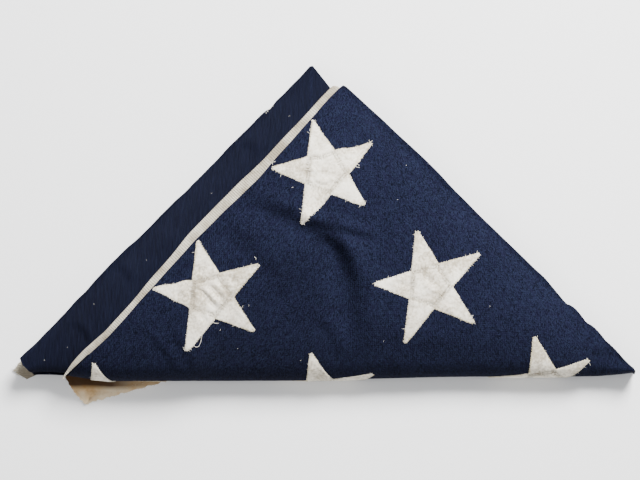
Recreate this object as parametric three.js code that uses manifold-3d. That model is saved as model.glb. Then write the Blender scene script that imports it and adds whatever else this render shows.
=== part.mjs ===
// A cloth flag folded into a triangle, lying on its back with its starred face up.
// Millimetres, +Z up. The origin is under the middle of the object, on the surface it lies on:
// the long bottom fold runs along X and the top corner points to +Y.
import * as THREE from 'three';
import { mergeVertices } from 'three/addons/utils/BufferGeometryUtils.js';
import Module from 'manifold-3d';

const wasm = await Module();
wasm.setup();
const { clamp, degToRad, lerp, smoothstep } = THREE.MathUtils;

// ---------- Driving dimensions ----------
const FIELD_CLOTH = 1.4; // thickness of the blue cloth
const PLAIN_CLOTH = 1.0; // thickness of the stripe, the loose corners and the stars
const GAP = 0.3; // least space between two pieces
const LAYERS = 11; // layers of blue cloth: 0 lies on the surface, the last is the front panel
const EDGE_PITCH = 2.2; // from one layer to the next along the edges
const CROWN = 23; // how much higher the front panel is in the middle
const CROWN_REACH = 40; // distance from an edge over which the crown rises
const CROWN_EVEN = 1.26; // makes up for the three edges' rises, none of which is quite full in the middle
const FOLD_DEPTH = 13; // how far the rounded bottom fold stands out from where its layers start
const FOLD_SHARE = 0.3; // at the narrow ends the fold takes no more of the stack's width than this
const STAR_RADIUS = 49; // centre to tip
const STAR_WAIST = 0.41; // inner corner radius over tip radius
const STAR_TURN = 30.8; // direction of the first tip, degrees from +X
const TIP_WIDTH = 2.4; // the tips are cut blunt
const STRIPE_HALF = 58.5; // the stripe is 117 wide and folded in half
const CORNER_ROOM = 3.0; // the left corner stands this high, on the loose cloth under it
const CORNER_RISE = [75, 125]; // how far to the left of the middle that lift starts, and is full
const STRIPE_ROOM = 4.2; // the front panel stands this much higher over the folded stripe
const STRIPE_FADE = [4, 34]; // past the stripe's hidden edge, where the panel starts and ends coming down

const FRONT = LAYERS - 1; // the front panel
const FLAP = LAYERS - 2; // the rear flap, the layer under the front panel

// ---------- Outlines, seen from above, as [x, y] from left to right ----------
const BOTTOM_EDGE = [[-266, -119], [-225, -118], [-190, -124], [-21, -123.7], [107, -120.3], [266, -118]];
const FRONT_EDGE = [
  [-240, -141], [-219, -119.4], [-182, -85], [-109, -4], [-57, 47], [-30, 77.5], [13.2, 127.9],
  [134.7, 13.2], [188, -37.8], [211, -63.3], [266, -116.9],
];
const STACK_EDGE = [
  [-266, -111.4], [-130, 26], [-11.5, 143.2], [4.7, 123.7], [13.2, 120], [40, 102],
  [134.7, 10.5], [188, -41], [266, -113.5],
];
// Peeks are stretches of the right edge where a lower layer stands out past the front panel.
const PEEKS = [{ pair: 4, x: 220, half: 20, out: 5 }, { pair: 3, x: 250, half: 14, out: 4 }];
// How far each pair of layers stops short of the stack's edge, from the lowest pair up.
const PAIR_INSET = [3, 1, 4.5, 2, 0];
const LEFT_SIDE = { x: -11.5, y: 143.2, inward: [0.71, -0.704] };
const RIGHT_SIDE = { x: 13.2, y: 127.9, inward: [-0.696, -0.718] };
const STRIPE_SIDE = { x: 13.2, y: 127.9, inward: [0.73, -0.683] };
const STATIONS = [
  -258, -244, -230, -219, -203, -175, -145, -115, -85, -60, -38, -11.5, 4.7, 13.2, 34, 60, 90,
  122, 155, 182, 203, 220, 236, 250, 264,
];
const LEFT_END = [[-119, -247], [-104, -262]]; // [y, x]: the left end is cut off askew
const RIGHT_END = { x: 265.5, y: -114, slope: 0.5 }; // the right end comes to a blunt point

// ---------- The main crease: a soft step with a ridge beside it ----------
const CREASE = [[-58, 33.6], [-17, 10], [6, -7], [23, -24], [30, -48], [30, -65], [17, -96]];
const CREASE_STEP = 2.6;
const CREASE_WIDTH = 8;
const RIDGE_HEIGHT = 2.2;
const RIDGE_OFFSET = 26;

// ---------- Small tools ----------
// The height of a line through points at x, carried on straight past its ends.
function lineAt(points, x) {
  let i = 0;
  while (i < points.length - 2 && points[i + 1][0] < x) i += 1;
  const [x0, y0] = points[i];
  const [x1, y1] = points[i + 1];
  return lerp(y0, y1, (x - x0) / (x1 - x0));
}

function insideOf(side, x, y) {
  return (x - side.x) * side.inward[0] + (y - side.y) * side.inward[1];
}

// The direction to the right of a [u, v] path at each of its points: +v where the path runs to -u.
// It is longer at corners, so that the cloth keeps its thickness there.
function sideways(path) {
  const across = path.slice(1).map(([u, v], i) => {
    const [du, dv] = [u - path[i][0], v - path[i][1]];
    const length = Math.hypot(du, dv);
    return [dv / length, -du / length];
  });
  return path.map((_, i) => {
    const before = across[Math.max(i - 1, 0)];
    const after = across[Math.min(i, across.length - 1)];
    const sum = [before[0] + after[0], before[1] + after[1]];
    const size = (sum[0] ** 2 + sum[1] ** 2) / 2;
    return [sum[0] / size, sum[1] / size];
  });
}

// A closed sheet from a grid of { point, normal }: both skins and the four edges.
function sheetGeometry(grid, thickness) {
  const rows = grid.length;
  const columns = grid[0].length;
  const positions = [];
  for (const side of [0.5, -0.5]) {
    for (const { point, normal } of grid.flat()) {
      positions.push(...point.map((value, axis) => value + side * thickness * normal[axis]));
    }
  }
  const index = [];
  const vertex = (side, i, j) => side * rows * columns + i * columns + j;
  const quad = (a, b, c, d) => index.push(a, b, c, a, c, d);
  for (let i = 0; i < rows - 1; i += 1) {
    for (let j = 0; j < columns - 1; j += 1) {
      const [top, under] = [0, 1].map((side) => [
        vertex(side, i, j), vertex(side, i, j + 1), vertex(side, i + 1, j + 1), vertex(side, i + 1, j),
      ]);
      quad(...top);
      index.push(under[0], under[2], under[1], under[0], under[3], under[2]);
    }
  }
  for (let i = 0; i < rows - 1; i += 1) {
    for (const [from, to, j] of [[i + 1, i, 0], [i, i + 1, columns - 1]]) {
      quad(vertex(0, from, j), vertex(1, from, j), vertex(1, to, j), vertex(0, to, j));
    }
  }
  for (let j = 0; j < columns - 1; j += 1) {
    for (const [i, from, to] of [[0, j, j + 1], [rows - 1, j + 1, j]]) {
      quad(vertex(0, i, from), vertex(1, i, from), vertex(1, i, to), vertex(0, i, to));
    }
  }
  const geometry = new THREE.BufferGeometry();
  geometry.setAttribute('position', new THREE.Float32BufferAttribute(positions, 3));
  geometry.setIndex(index);
  return geometry;
}

// Every triangle has a number of its own, so that a cut keeps the edges between level ones.
function solidOf(geometry) {
  geometry.deleteAttribute('normal');
  geometry.deleteAttribute('uv');
  const merged = mergeVertices(geometry, 1e-4);
  return new wasm.Manifold(new wasm.Mesh({
    numProp: 3,
    vertProperties: merged.attributes.position.array,
    triVerts: new Uint32Array(merged.index.array),
    faceID: Uint32Array.from({ length: merged.index.count / 3 }, (_, i) => i),
  }));
}

// ---------- Heights of the layers ----------
function crown(x, y) {
  const rise = (distance) => 1 - Math.exp(-Math.max(distance, 0) / CROWN_REACH);
  const fromBottom = rise(y - lineAt(BOTTOM_EDGE, x));
  return CROWN_EVEN * fromBottom * rise(insideOf(LEFT_SIDE, x, y)) * rise(insideOf(RIGHT_SIDE, x, y));
}

// The nearest place on the crease line: how far along it (0 to 1), and how far to its upper right.
function alongCrease(x, y) {
  let nearest = { along: 0, aside: Infinity };
  CREASE.slice(1).forEach(([x1, y1], i) => {
    const [x0, y0] = CREASE[i];
    const [dx, dy] = [x1 - x0, y1 - y0];
    const length = Math.hypot(dx, dy);
    const t = Math.min(Math.max(((x - x0) * dx + (y - y0) * dy) / length ** 2, 0), 1);
    const away = Math.hypot(x - x0 - t * dx, y - y0 - t * dy);
    if (away < Math.abs(nearest.aside)) {
      const side = Math.sign(dx * (y - y0) - dy * (x - x0)) || 1;
      nearest = { along: (i + t) / (CREASE.length - 1), aside: side * away };
    }
  });
  return nearest;
}

function crease(x, y) {
  const { along, aside } = alongCrease(x, y);
  const u = aside / CREASE_WIDTH;
  const step = CREASE_STEP * u * Math.exp((1 - u * u) / 2);
  const ridge = RIDGE_HEIGHT * Math.exp(-(((aside + RIDGE_OFFSET) / CREASE_WIDTH) ** 2) / 2);
  return Math.sin(Math.PI * along) ** 0.6 * (step + ridge);
}

// The middle of a layer's cloth above the surface.
function layerHeight(layer, x, y) {
  const share = layer / FRONT;
  const room = CORNER_ROOM * smoothstep(-x, ...CORNER_RISE);
  const flat = FIELD_CLOTH / 2 + layer * EDGE_PITCH + room;
  const pastStripe = insideOf(STRIPE_SIDE, x, y) - STRIPE_HALF;
  const overStripe = 1 - smoothstep(pastStripe, ...STRIPE_FADE);
  const stripe = layer === FRONT ? STRIPE_ROOM * overStripe : 0;
  return flat + share * CROWN * crown(x, y) + share ** 6 * crease(x, y) + stripe;
}

// ---------- The blue field: one cloth, back and forth in planes across X ----------
const FRONT_STEPS = 11;
const FOLD_STEPS = 6;
const LAYER_STEPS = [2, 2, 2, 2, 2, 2, 2, 2, 4, 6]; // lengths that each lower layer is drawn in
const LIP = degToRad(8); // what the front panel's rows close up to where its edge is on the fold

function foldAt(x) {
  const bottom = lineAt(BOTTOM_EDGE, x) + FIELD_CLOTH / 2;
  const depth = Math.min(FOLD_DEPTH, FOLD_SHARE * (lineAt(STACK_EDGE, x) - bottom));
  const y = bottom + depth;
  const low = layerHeight(0, x, y);
  const high = layerHeight(FRONT, x, y);
  const slope = layerHeight(FRONT, x, y + 1) - high;
  return { y, z: (low + high) / 2, depth, half: (high - low) / 2, slope };
}

// A point of the bottom fold: angle 0 is where the front panel meets it, pi is the underside.
function onFold(fold, angle) {
  const lean = fold.slope * fold.depth * Math.sin(angle) * Math.cos(angle / 2) ** 2;
  return [fold.y - fold.depth * Math.sin(angle), fold.z + fold.half * Math.cos(angle) - lean];
}

// The front panel from its free edge down, then round the bottom fold to the underside.
// Left of the panel's lower corner only part of the fold is there.
function frontRows(x) {
  const fold = foldAt(x);
  const edge = lineAt(FRONT_EDGE, x);
  const rows = [];
  let start = 0;
  if (edge < fold.y) start = Math.asin(Math.min((fold.y - edge) / fold.depth, 1));
  for (let i = 0; i < FRONT_STEPS; i += 1) {
    const t = i / FRONT_STEPS;
    const y = lerp(edge, fold.y, t);
    rows.push(start ? onFold(fold, start + LIP * t) : [y, layerHeight(FRONT, x, y)]);
  }
  const lip = start ? start + LIP : 0;
  for (let i = 0; i <= FOLD_STEPS; i += 1) {
    rows.push(onFold(fold, lerp(lip, Math.PI, i / FOLD_STEPS)));
  }
  return rows;
}

// Where a layer turns into the next one: at the stack's edge, or inside the bottom fold.
function turnAt(layer, x, fold) {
  if (layer === FLAP) return fold.y;
  const outward = layer % 2 === 0;
  const pair = layer / 2;
  const edge = outward ? lineAt(STACK_EDGE, x) - PAIR_INSET[pair] + peek(pair, x) : fold.y;
  const low = layerHeight(layer, x, edge);
  const half = (layerHeight(layer + 1, x, edge) - low) / 2;
  const turn = half + FIELD_CLOTH / 2;
  if (outward) return edge - turn;
  const reach = (Math.abs(low + half - fold.z) + turn) / (fold.half - EDGE_PITCH - GAP);
  const room = Math.max(fold.depth - EDGE_PITCH - FIELD_CLOTH / 2 - GAP, 0);
  return fold.y - room * Math.sqrt(Math.max(1 - reach ** 2, 0)) + turn;
}

function peek(pair, x) {
  const found = PEEKS.find((one) => one.pair === pair && Math.abs(x - one.x) < one.half);
  return found ? found.out * Math.cos((Math.PI / 2) * ((x - found.x) / found.half)) : 0;
}

function fieldSection(x) {
  const fold = foldAt(x);
  const path = frontRows(x);
  let y = fold.y;
  for (let layer = 0; layer <= FLAP; layer += 1) {
    const end = turnAt(layer, x, fold);
    const steps = LAYER_STEPS[layer];
    for (let i = layer === 0 ? 1 : 0; i <= steps; i += 1) {
      const at = lerp(y, end, i / steps);
      path.push([at, layerHeight(layer, x, at)]);
    }
    if (layer < FLAP) {
      const low = layerHeight(layer, x, end);
      const half = (layerHeight(layer + 1, x, end) - low) / 2;
      const out = (layer % 2 === 0 ? 1 : -1) * half * Math.cos(Math.PI / 6);
      path.push([end + out, low + half / 2], [end + out, low + 1.5 * half]);
    }
    y = end;
  }
  // The flap's lower end follows the inside of the bottom fold.
  const rise = layerHeight(FLAP, x, fold.y) - fold.z;
  const depth = Math.max(fold.depth - EDGE_PITCH, GAP);
  for (const angle of [Math.PI / 6, Math.PI / 3]) {
    path.push([fold.y - depth * Math.sin(angle), fold.z + rise * Math.cos(angle)]);
  }
  return path;
}

// The first and last sections lean, so that the cloth has its own outline at both ends.
function stationX(i, y) {
  if (i === 0) return lineAt(LEFT_END, clamp(y, LEFT_END[0][0], LEFT_END[1][0]));
  if (i === STATIONS.length - 1) return RIGHT_END.x - RIGHT_END.slope * Math.abs(y - RIGHT_END.y);
  return STATIONS[i];
}

const fieldGrid = STATIONS.map((x, i) => {
  const path = fieldSection(x);
  return sideways(path).map(([ny, nz], j) => {
    const [y, z] = path[j];
    return { point: [stationX(i, y), y, z], normal: [0, ny, nz] };
  });
});

// ---------- Stars: cut from the cloth laid flat, then carried onto the front panel ----------
// Plan position of each star's upper tip.
const STAR_TOPS = [[-8, 97], [-107, -4.5], [78, 4], [-195.5, -108.5], [-11.5, -100], [180, -87]];
const FLAT_ROWS = FRONT_STEPS + FOLD_STEPS; // rows that stars can lie on, short of the underside

// Distance along the cloth from the bottom fold's outermost line, for each row of a section.
function flatRows(path, x) {
  const bottom = lineAt(BOTTOM_EDGE, x);
  const lowest = path.slice(0, FLAT_ROWS).reduce((best, [y], j) => (y < path[best][0] ? j : best), 0);
  const flat = path.slice(0, FLAT_ROWS).map(() => bottom);
  for (let j = lowest - 1; j >= 0; j -= 1) {
    flat[j] = flat[j + 1] + Math.hypot(path[j][0] - path[j + 1][0], path[j][1] - path[j + 1][1]);
  }
  for (let j = lowest + 1; j < FLAT_ROWS; j += 1) {
    flat[j] = flat[j - 1] - Math.hypot(path[j][0] - path[j - 1][0], path[j][1] - path[j - 1][1]);
  }
  return flat;
}

const flatGrid = fieldGrid.map((row, i) => {
  const flat = flatRows(row.map(({ point }) => point.slice(1)), STATIONS[i]);
  return flat.map((y, j) => ({
    point: [row[j].point[0], y, FIELD_CLOTH / 2 + GAP + PLAIN_CLOTH / 2],
    normal: [0, 0, 1],
  }));
});
const flatSlab = solidOf(sheetGeometry(flatGrid, PLAIN_CLOTH));

// Shares of a point between three corners of a triangle.
function shares([x, y], [[ax, ay], [bx, by], [cx, cy]]) {
  const area = (bx - ax) * (cy - ay) - (cx - ax) * (by - ay);
  const b = ((x - ax) * (cy - ay) - (cx - ax) * (y - ay)) / area;
  const c = ((bx - ax) * (y - ay) - (x - ax) * (by - ay)) / area;
  return [1 - b - c, b, c];
}

// Finds the triangle of a grid that holds a point, and gives the shares of its three corners.
function locate(x, y, placeOf) {
  let best = { least: -Infinity };
  for (let i = 0; i < STATIONS.length - 1; i += 1) {
    for (let j = 0; j < FLAT_ROWS - 1; j += 1) {
      for (const corners of [[[i, j], [i, j + 1], [i + 1, j + 1]], [[i, j], [i + 1, j + 1], [i + 1, j]]]) {
        const parts = shares([x, y], corners.map(([a, b]) => placeOf(a, b)));
        const least = Math.min(...parts);
        if (least > best.least) best = { least, parts, corners };
      }
    }
  }
  return best;
}

const flatPlace = (i, j) => flatGrid[i][j].point;
const plan = (i, j) => fieldGrid[i][j].point;

function toFlat(x, y) {
  const { parts, corners } = locate(x, y, plan);
  return corners.reduce((sum, [i, j], k) => sum + parts[k] * flatGrid[i][j].point[1], 0);
}

function ontoCloth([x, y, out]) {
  const { parts, corners } = locate(x, y, flatPlace);
  return [0, 1, 2].map((axis) => corners.reduce((sum, [i, j], k) => {
    const { point, normal } = fieldGrid[i][j];
    return sum + parts[k] * (point[axis] + out * normal[axis]);
  }, 0));
}

function starGeometry([tipX, tipY]) {
  const turn = degToRad(STAR_TURN);
  const topTip = turn + degToRad(72);
  const x = tipX - STAR_RADIUS * Math.cos(topTip);
  const y = toFlat(tipX, tipY) - STAR_RADIUS * Math.sin(topTip);
  const outline = [];
  for (let k = 0; k < 5; k += 1) {
    const angle = turn + degToRad(72 * k);
    const blunt = Math.atan2(TIP_WIDTH / 2, STAR_RADIUS);
    for (const [away, a] of [[1, angle - blunt], [1, angle + blunt], [STAR_WAIST, angle + degToRad(36)]]) {
      outline.push(new THREE.Vector2(
        x + away * STAR_RADIUS * Math.cos(a),
        y + away * STAR_RADIUS * Math.sin(a),
      ));
    }
  }
  const cutter = new THREE.ExtrudeGeometry(new THREE.Shape(outline), { depth: 8, bevelEnabled: false });
  const cut = flatSlab.intersect(solidOf(cutter)).getMesh();
  const positions = [];
  for (let v = 0; v < cut.vertProperties.length; v += 3) {
    positions.push(...ontoCloth(cut.vertProperties.slice(v, v + 3)));
  }
  const geometry = new THREE.BufferGeometry();
  geometry.setAttribute('position', new THREE.Float32BufferAttribute(positions, 3));
  geometry.setIndex([...cut.triVerts]);
  return geometry;
}

// ---------- White stripe: a strip folded in half, lying on the flap under the panel's edge ----------
const BAND_WIDTH = [[-221, 4], [-160, 5], [-120, 7], [-85, 9.8], [-58, 9.5], [-30, 6.8], [8, 5.6]];
const STRIPE_STATIONS = [8, -11, -36, -60, -85, -112, -140, -170, -190, -203, -212, -221];
const PLY_GAP = 0.5;
const STRIPE_SLACK = 1.1; // the stripe lies this loosely on the flap
const STRIPE_STOP = 8; // its hidden part ends this far above the bottom fold
const FLAP_DROP = 0.85; // how far round the bottom fold the stripe can follow the flap

// The top of the flap's cloth, rounding down at the bottom fold.
function flapTop(x, y) {
  const fold = foldAt(x);
  if (y > fold.y) return layerHeight(FLAP, x, y) + FIELD_CLOTH / 2;
  const drop = Math.min((fold.y - y) / (fold.depth - EDGE_PITCH), FLAP_DROP);
  const rise = layerHeight(FLAP, x, fold.y) - fold.z;
  return fold.z + rise * Math.sqrt(1 - drop * drop) + FIELD_CLOTH / 2;
}

// A two-ply section, open to the right: the upper ply, the round fold, the lower ply, as [across, up].
function foldedPlies(width, steps) {
  const radius = (PLAIN_CLOTH + PLY_GAP) / 2;
  const centre = radius + PLAIN_CLOTH / 2;
  const upper = [];
  for (let i = 0; i <= steps; i += 1) upper.push([lerp(width, centre, i / steps), radius]);
  const bend = [30, -30].map((a) => [
    centre - radius * Math.cos(degToRad(a)), radius * Math.sin(degToRad(a)),
  ]);
  const lower = upper.map(([across, up]) => [across, -up]).reverse();
  return [...upper, ...bend, ...lower];
}

const stripeGrid = STRIPE_STATIONS.map((x) => {
  const edge = lineAt(FRONT_EDGE, x);
  const band = lineAt(BAND_WIDTH, x);
  const hidden = (edge - foldAt(x).y - STRIPE_STOP) / -STRIPE_SIDE.inward[1];
  const width = hidden > 0 ? Math.min(STRIPE_HALF, band + hidden) : band - 1;
  const section = foldedPlies(width, 4);
  const rest = GAP + STRIPE_SLACK + PLAIN_CLOTH + PLY_GAP / 2;
  return sideways(section).map(([across, up], j) => {
    const [inX, inY] = STRIPE_SIDE.inward;
    const inside = section[j][0] - band;
    const place = [x + inX * inside, edge + inY * inside];
    return {
      point: [...place, flapTop(...place) + rest + section[j][1]],
      normal: [inX * across, inY * across, up],
    };
  });
});

// ---------- Cream corner: two plies under the bottom fold, lying on the surface ----------
const CREAM_TIP = [-205.3, -143.2];
const CREAM_FOLD = [0.518, -0.856]; // along the folded side, down to the tip
const CREAM_ACROSS = [0.856, 0.518];
const CREAM_WIDTH = 40;
const CREAM_LENGTH = 75;
const CREAM_SKEW = 0.28; // the lower edge is not quite square to the folded side
const CREAM_INSET = 6; // the upper ply is this much shorter,
const CREAM_ROUND = 12; // but for a stretch beside the fold

const creamGrid = [1, 0.55, 0.15, 0].map((t) => {
  const section = foldedPlies(CREAM_LENGTH, 3);
  const rest = PLAIN_CLOTH + PLY_GAP / 2;
  return sideways(section).map(([side, up], j) => {
    const [across, high] = section[j];
    const inset = (high / rest + 1) * (CREAM_INSET / 2) * smoothstep(across, 0, CREAM_ROUND);
    const down = CREAM_SKEW * across - inset - CREAM_WIDTH * t;
    return {
      point: [
        CREAM_TIP[0] + CREAM_ACROSS[0] * across + CREAM_FOLD[0] * down,
        CREAM_TIP[1] + CREAM_ACROSS[1] * across + CREAM_FOLD[1] * down,
        rest + high,
      ],
      normal: [CREAM_ACROSS[0] * side, CREAM_ACROSS[1] * side, up],
    };
  });
});

// ---------- Stripe end: the small white corner at the far left ----------
const STRIPE_END = [
  [-266.5, -114.3], [-257.4, -121.8], [-247, -118], [-233, -112], [-237, -98], [-258.5, -105.5],
];

function stripeEndGeometry() {
  const outline = new THREE.Shape(STRIPE_END.map(([x, y]) => new THREE.Vector2(x, y)));
  return new THREE.ExtrudeGeometry(outline, { depth: PLAIN_CLOTH, bevelEnabled: false });
}

// ---------- Assembly ----------
const blueCotton = new THREE.MeshStandardMaterial({ color: '#21283d', roughness: 0.92, metalness: 0 });
const whiteCotton = new THREE.MeshStandardMaterial({ color: '#cdc8bb', roughness: 0.9, metalness: 0 });
const starCotton = new THREE.MeshStandardMaterial({ color: '#e2ded6', roughness: 0.9, metalness: 0 });
const creamCotton = new THREE.MeshStandardMaterial({ color: '#d9c7a8', roughness: 0.9, metalness: 0 });

const flag = new THREE.Group();

function addPiece(name, geometry, material) {
  const piece = new THREE.Mesh(geometry, material);
  piece.name = name;
  flag.add(piece);
}

addPiece('blue_field', sheetGeometry(fieldGrid, FIELD_CLOTH), blueCotton);
addPiece('white_stripe', sheetGeometry(stripeGrid, PLAIN_CLOTH), whiteCotton);
addPiece('white_stripe_end', stripeEndGeometry(), whiteCotton);
addPiece('cream_corner', sheetGeometry(creamGrid, PLAIN_CLOTH), creamCotton);
STAR_TOPS.forEach((top, k) => addPiece(`star_${k + 1}`, starGeometry(top), starCotton));

export default flag;
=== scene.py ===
# %% [markdown]
# # A worn cotton flag, folded into a triangle
#
# The real thing is one big cloth, folded lengthwise and then corner over corner until only its dark
# blue star field shows. It lies on its back on a table. Five things make it look like itself: the
# outline with its two blue slopes, the big soft fold along the bottom, the sewn white stars with
# their worn stitching, the strip of white cloth that shows between the slopes, and the yellowed
# corner that hangs out below.
#
# Everything here is a surface worked out with numpy, in millimetres, and made a mesh in metres.

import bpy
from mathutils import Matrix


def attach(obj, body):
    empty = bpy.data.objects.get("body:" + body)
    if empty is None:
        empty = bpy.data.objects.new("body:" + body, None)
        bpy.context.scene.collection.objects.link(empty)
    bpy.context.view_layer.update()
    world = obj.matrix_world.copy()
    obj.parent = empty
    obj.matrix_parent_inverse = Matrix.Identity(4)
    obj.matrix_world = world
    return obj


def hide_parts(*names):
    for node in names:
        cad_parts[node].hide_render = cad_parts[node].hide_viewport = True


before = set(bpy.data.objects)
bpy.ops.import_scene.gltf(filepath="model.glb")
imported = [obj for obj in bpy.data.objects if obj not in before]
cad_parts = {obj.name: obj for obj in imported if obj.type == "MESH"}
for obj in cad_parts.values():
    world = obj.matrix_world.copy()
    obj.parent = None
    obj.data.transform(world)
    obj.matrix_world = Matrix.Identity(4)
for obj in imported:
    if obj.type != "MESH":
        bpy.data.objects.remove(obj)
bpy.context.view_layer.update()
print("frame nodes:", sorted(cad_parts))

# %% Libraries and units
from math import cos, pi, radians, sin
from types import SimpleNamespace

import bmesh
import bpy
import numpy as np
from mathutils import Vector

MM = 0.001  # a millimetre in Blender's metres

# %% [markdown]
# ## The outline
#
# Seen from above, the folded flag is bounded by a few nearly straight lines. The front panel's edge
# goes up the white strip and down the right side. The stack of layers under it has an edge of its
# own, which stands out at the upper left as the rear flap. Each line is a short list of corners, and
# the cloth's softness comes from averaging the line over a short stretch, which rounds its corners.

# %% Lines
BOTTOM_EDGE = [
    [-266, -119], [-225, -118], [-190, -124], [-21, -123.7], [107, -120.3], [236, -120], [250, -118.6],
    [266, -116.4],
]
FRONT_EDGE = [
    [-240, -141], [-219, -119.4], [-182, -85], [-109, -4], [-57, 47], [-30, 77.5], [0, 112.2], [16.2, 129.4],
    [57.4, 91.3], [84.6, 66.4], [98.2, 52.6], [112, 37.8], [139, 10.8], [166, -15.6], [188, -35.8],
    [206.5, -58.8], [209.5, -59.4], [214.5, -63], [219, -68.2], [223, -73.8], [227, -75.4], [232, -80],
    [238, -87], [241.7, -93],
    [244.3, -97.6], [247, -97.6], [253, -100.8], [258, -105], [262.3, -110.4], [266, -116.4],
]
STACK_EDGE = [
    [-266, -112], [-228, -73], [-201, -43], [-174, -15.4], [-119, 37.6], [-79, 79.2], [-24, 132.6],
    [-10.8, 147],
    [5.6, 126], [14, 121], [40, 102], [134.7, 10.5], [188, -41], [266, -113.5],
]
LEFT_END = [[-119, -247], [-110, -257], [-104, -259.5]]  # as [y, x]: the left end is cut off askew
RIGHT_END = SimpleNamespace(x=265.5, y=-116.5, slope=0.6)  # the right end is a blunt point
FIRST_X, LAST_X, LEAN = -258, 264, 14  # the ends lean over this much of the length


def line_at(points, x):
    """The height at x of the line through points. Past its ends the line runs on straight."""
    px, py = np.array(points, float).T
    i = np.clip(np.searchsorted(px, x) - 1, 0, len(px) - 2)
    return py[i] + (py[i + 1] - py[i]) * (x - px[i]) / (px[i + 1] - px[i])


def soft_line(points, x, reach=1.5):
    """The same line, averaged over reach to both sides of x, so that its corners are round."""
    return sum(line_at(points, x + step * reach) for step in (-1, -0.5, 0, 0.5, 1)) / 5


def waver(x, seed, size=24):
    """Unevenness along a line, between about -1 and 1: four waves of set lengths and places."""
    rng = np.random.default_rng(seed)
    lengths, places = size * rng.uniform(0.5, 1.6, 4), rng.uniform(0, 2 * pi, 4)
    return sum(np.sin(2 * pi * x / length + place) for length, place in zip(lengths, places)) / 2.5


print("front panel's top corner at", round(float(soft_line(FRONT_EDGE, 16.2)), 1), "mm")

# %% [markdown]
# ## The lie of the cloth
#
# Eleven layers lie on each other. They are close together at the edges and rise to a crown in the
# middle, because a soft pile of cloth is never flat. The top layers also have creases. A crease could
# be sculpted or simulated, but a listed crease can be put where the real one is: it is a
# route across the cloth, with a ridge, a valley or a soft step along it that fades out at both ends.

# %% Layers and crown
CLOTH = 1.4  # the room that one layer of blue cloth takes
THIN = 1.0  # how thick the cloth is as shown
LAYERS = 11
FRONT, FLAP = LAYERS - 1, LAYERS - 2
PITCH = 2.2
GAP = 0.3
CROWN, CROWN_REACH, CROWN_EVEN = 23, 40, 1.26
CORNER_ROOM, CORNER_RISE = 3.0, (75, 125)
STRIPE_ROOM, STRIPE_FADE, STRIPE_HALF = 4.2, (4, 34), 58.5
LEFT_SIDE = SimpleNamespace(x=-11.5, y=143.2, inward=(0.71, -0.704))
RIGHT_SIDE = SimpleNamespace(x=13.2, y=127.9, inward=(-0.696, -0.718))
STRIPE_SIDE = SimpleNamespace(x=13.2, y=127.9, inward=(0.73, -0.683))


def inside_of(side, x, y):
    """How far a place is inside a slanting side of the outline."""
    return (x - side.x) * side.inward[0] + (y - side.y) * side.inward[1]


def ease(value, start, end):
    """0 before start, 1 after end, and a smooth S between them."""
    t = np.clip((value - start) / (end - start), 0, 1)
    return t * t * (3 - 2 * t)


def crown(x, y):
    """0 at the edges and about 1 in the middle: the product of one fading rise from each edge."""
    rises = [y - soft_line(BOTTOM_EDGE, x, 15), inside_of(LEFT_SIDE, x, y), inside_of(RIGHT_SIDE, x, y)]
    return CROWN_EVEN * np.prod([1 - np.exp(-np.maximum(d, 0) / CROWN_REACH) for d in rises], axis=0)


def soft_noise(x, y, seed, size):
    """Smooth unevenness over a surface, between about -1 and 1: seven slow waves that cross."""
    rng = np.random.default_rng(seed)
    turns, lengths, places = rng.uniform(0, pi, 7), size * rng.uniform(0.7, 1.6, 7), rng.uniform(0, 7, 7)
    waves = [
        np.sin(2 * pi * (x * cos(turn) + y * sin(turn)) / length + place)
        for turn, length, place in zip(turns, lengths, places)
    ]
    return sum(waves) / 3


# %% Creases
ROUTE_POINTS = 64
CREASE_FADE = 0.3  # a crease fades in and out over this share of its length
# Each crease is its kind, its height or depth, how wide it is, and its route.
MAIN_CREASE = [[-84, 39], [-58, 29], [-31, 18], [-13, 8], [5, -3], [18, -15], [22, -32], [27, -50]]
CREASES = [
    ("step", 3.0, 6.5, MAIN_CREASE),
    ("step", 4.0, 11, [[-8, 8], [13, -12], [22, -32], [27, -52], [27, -74], [18, -100]]),
    ("step", 2.3, 4, [[-20, 12], [-2, 10], [14, 5], [30, 1], [48, -4]]),
    ("ridge", -1.4, 5, [[-6, 2], [8, -6], [18, -18]]),
    ("ridge", 1.5, 12, [[-76, 10], [-40, -6], [-14, -30], [-2, -56], [-4, -84]]),
    ("step", 1.1, 7, [[-97, 22], [-70, -2], [-54, -18], [-34, -44]]),
    ("ridge", 0.6, 1.4, [[-52, -16], [-51, -48], [-50, -84]]),
    ("step", 1.2, 5, [[-4, -66], [2, -78], [10, -92], [16, -108]]),
    ("step", 0.9, 4, [[-150, -82], [-136, -98], [-124, -116]]),
    ("step", 0.8, 4, [[-132, -82], [-118, -98], [-108, -116]]),
    ("ridge", -1.0, 9, [[86, 56], [104, 26], [118, -10]]),
    ("ridge", 1.6, 14, [[60, 70], [120, 14], [176, -38]]),
    ("ridge", -2.6, 3.0, [[234, -96], [229, -107], [220, -120]]),
    ("ridge", -2.8, 2.8, [[244, -96], [239, -107], [231, -120]]),
    ("ridge", -2.4, 2.6, [[253, -100], [249, -109], [243, -120]]),
    ("ridge", 1.2, 2.2, [[206, -58], [211, -66], [214, -74]]),
    ("ridge", 0.9, 2.2, [[225, -77], [230, -84], [232, -91]]),
    ("ridge", -1.1, 9, [[-156, -64], [-120, -30], [-92, -20]]),
    ("ridge", 0.9, 7, [[40, -70], [76, -84], [120, -92]]),
    ("ridge", -0.9, 8, [[60, -98], [110, -106], [160, -100]]),
    ("step", 1.0, 8, [[20, 108], [30, 84], [52, 60]]),
]
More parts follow.
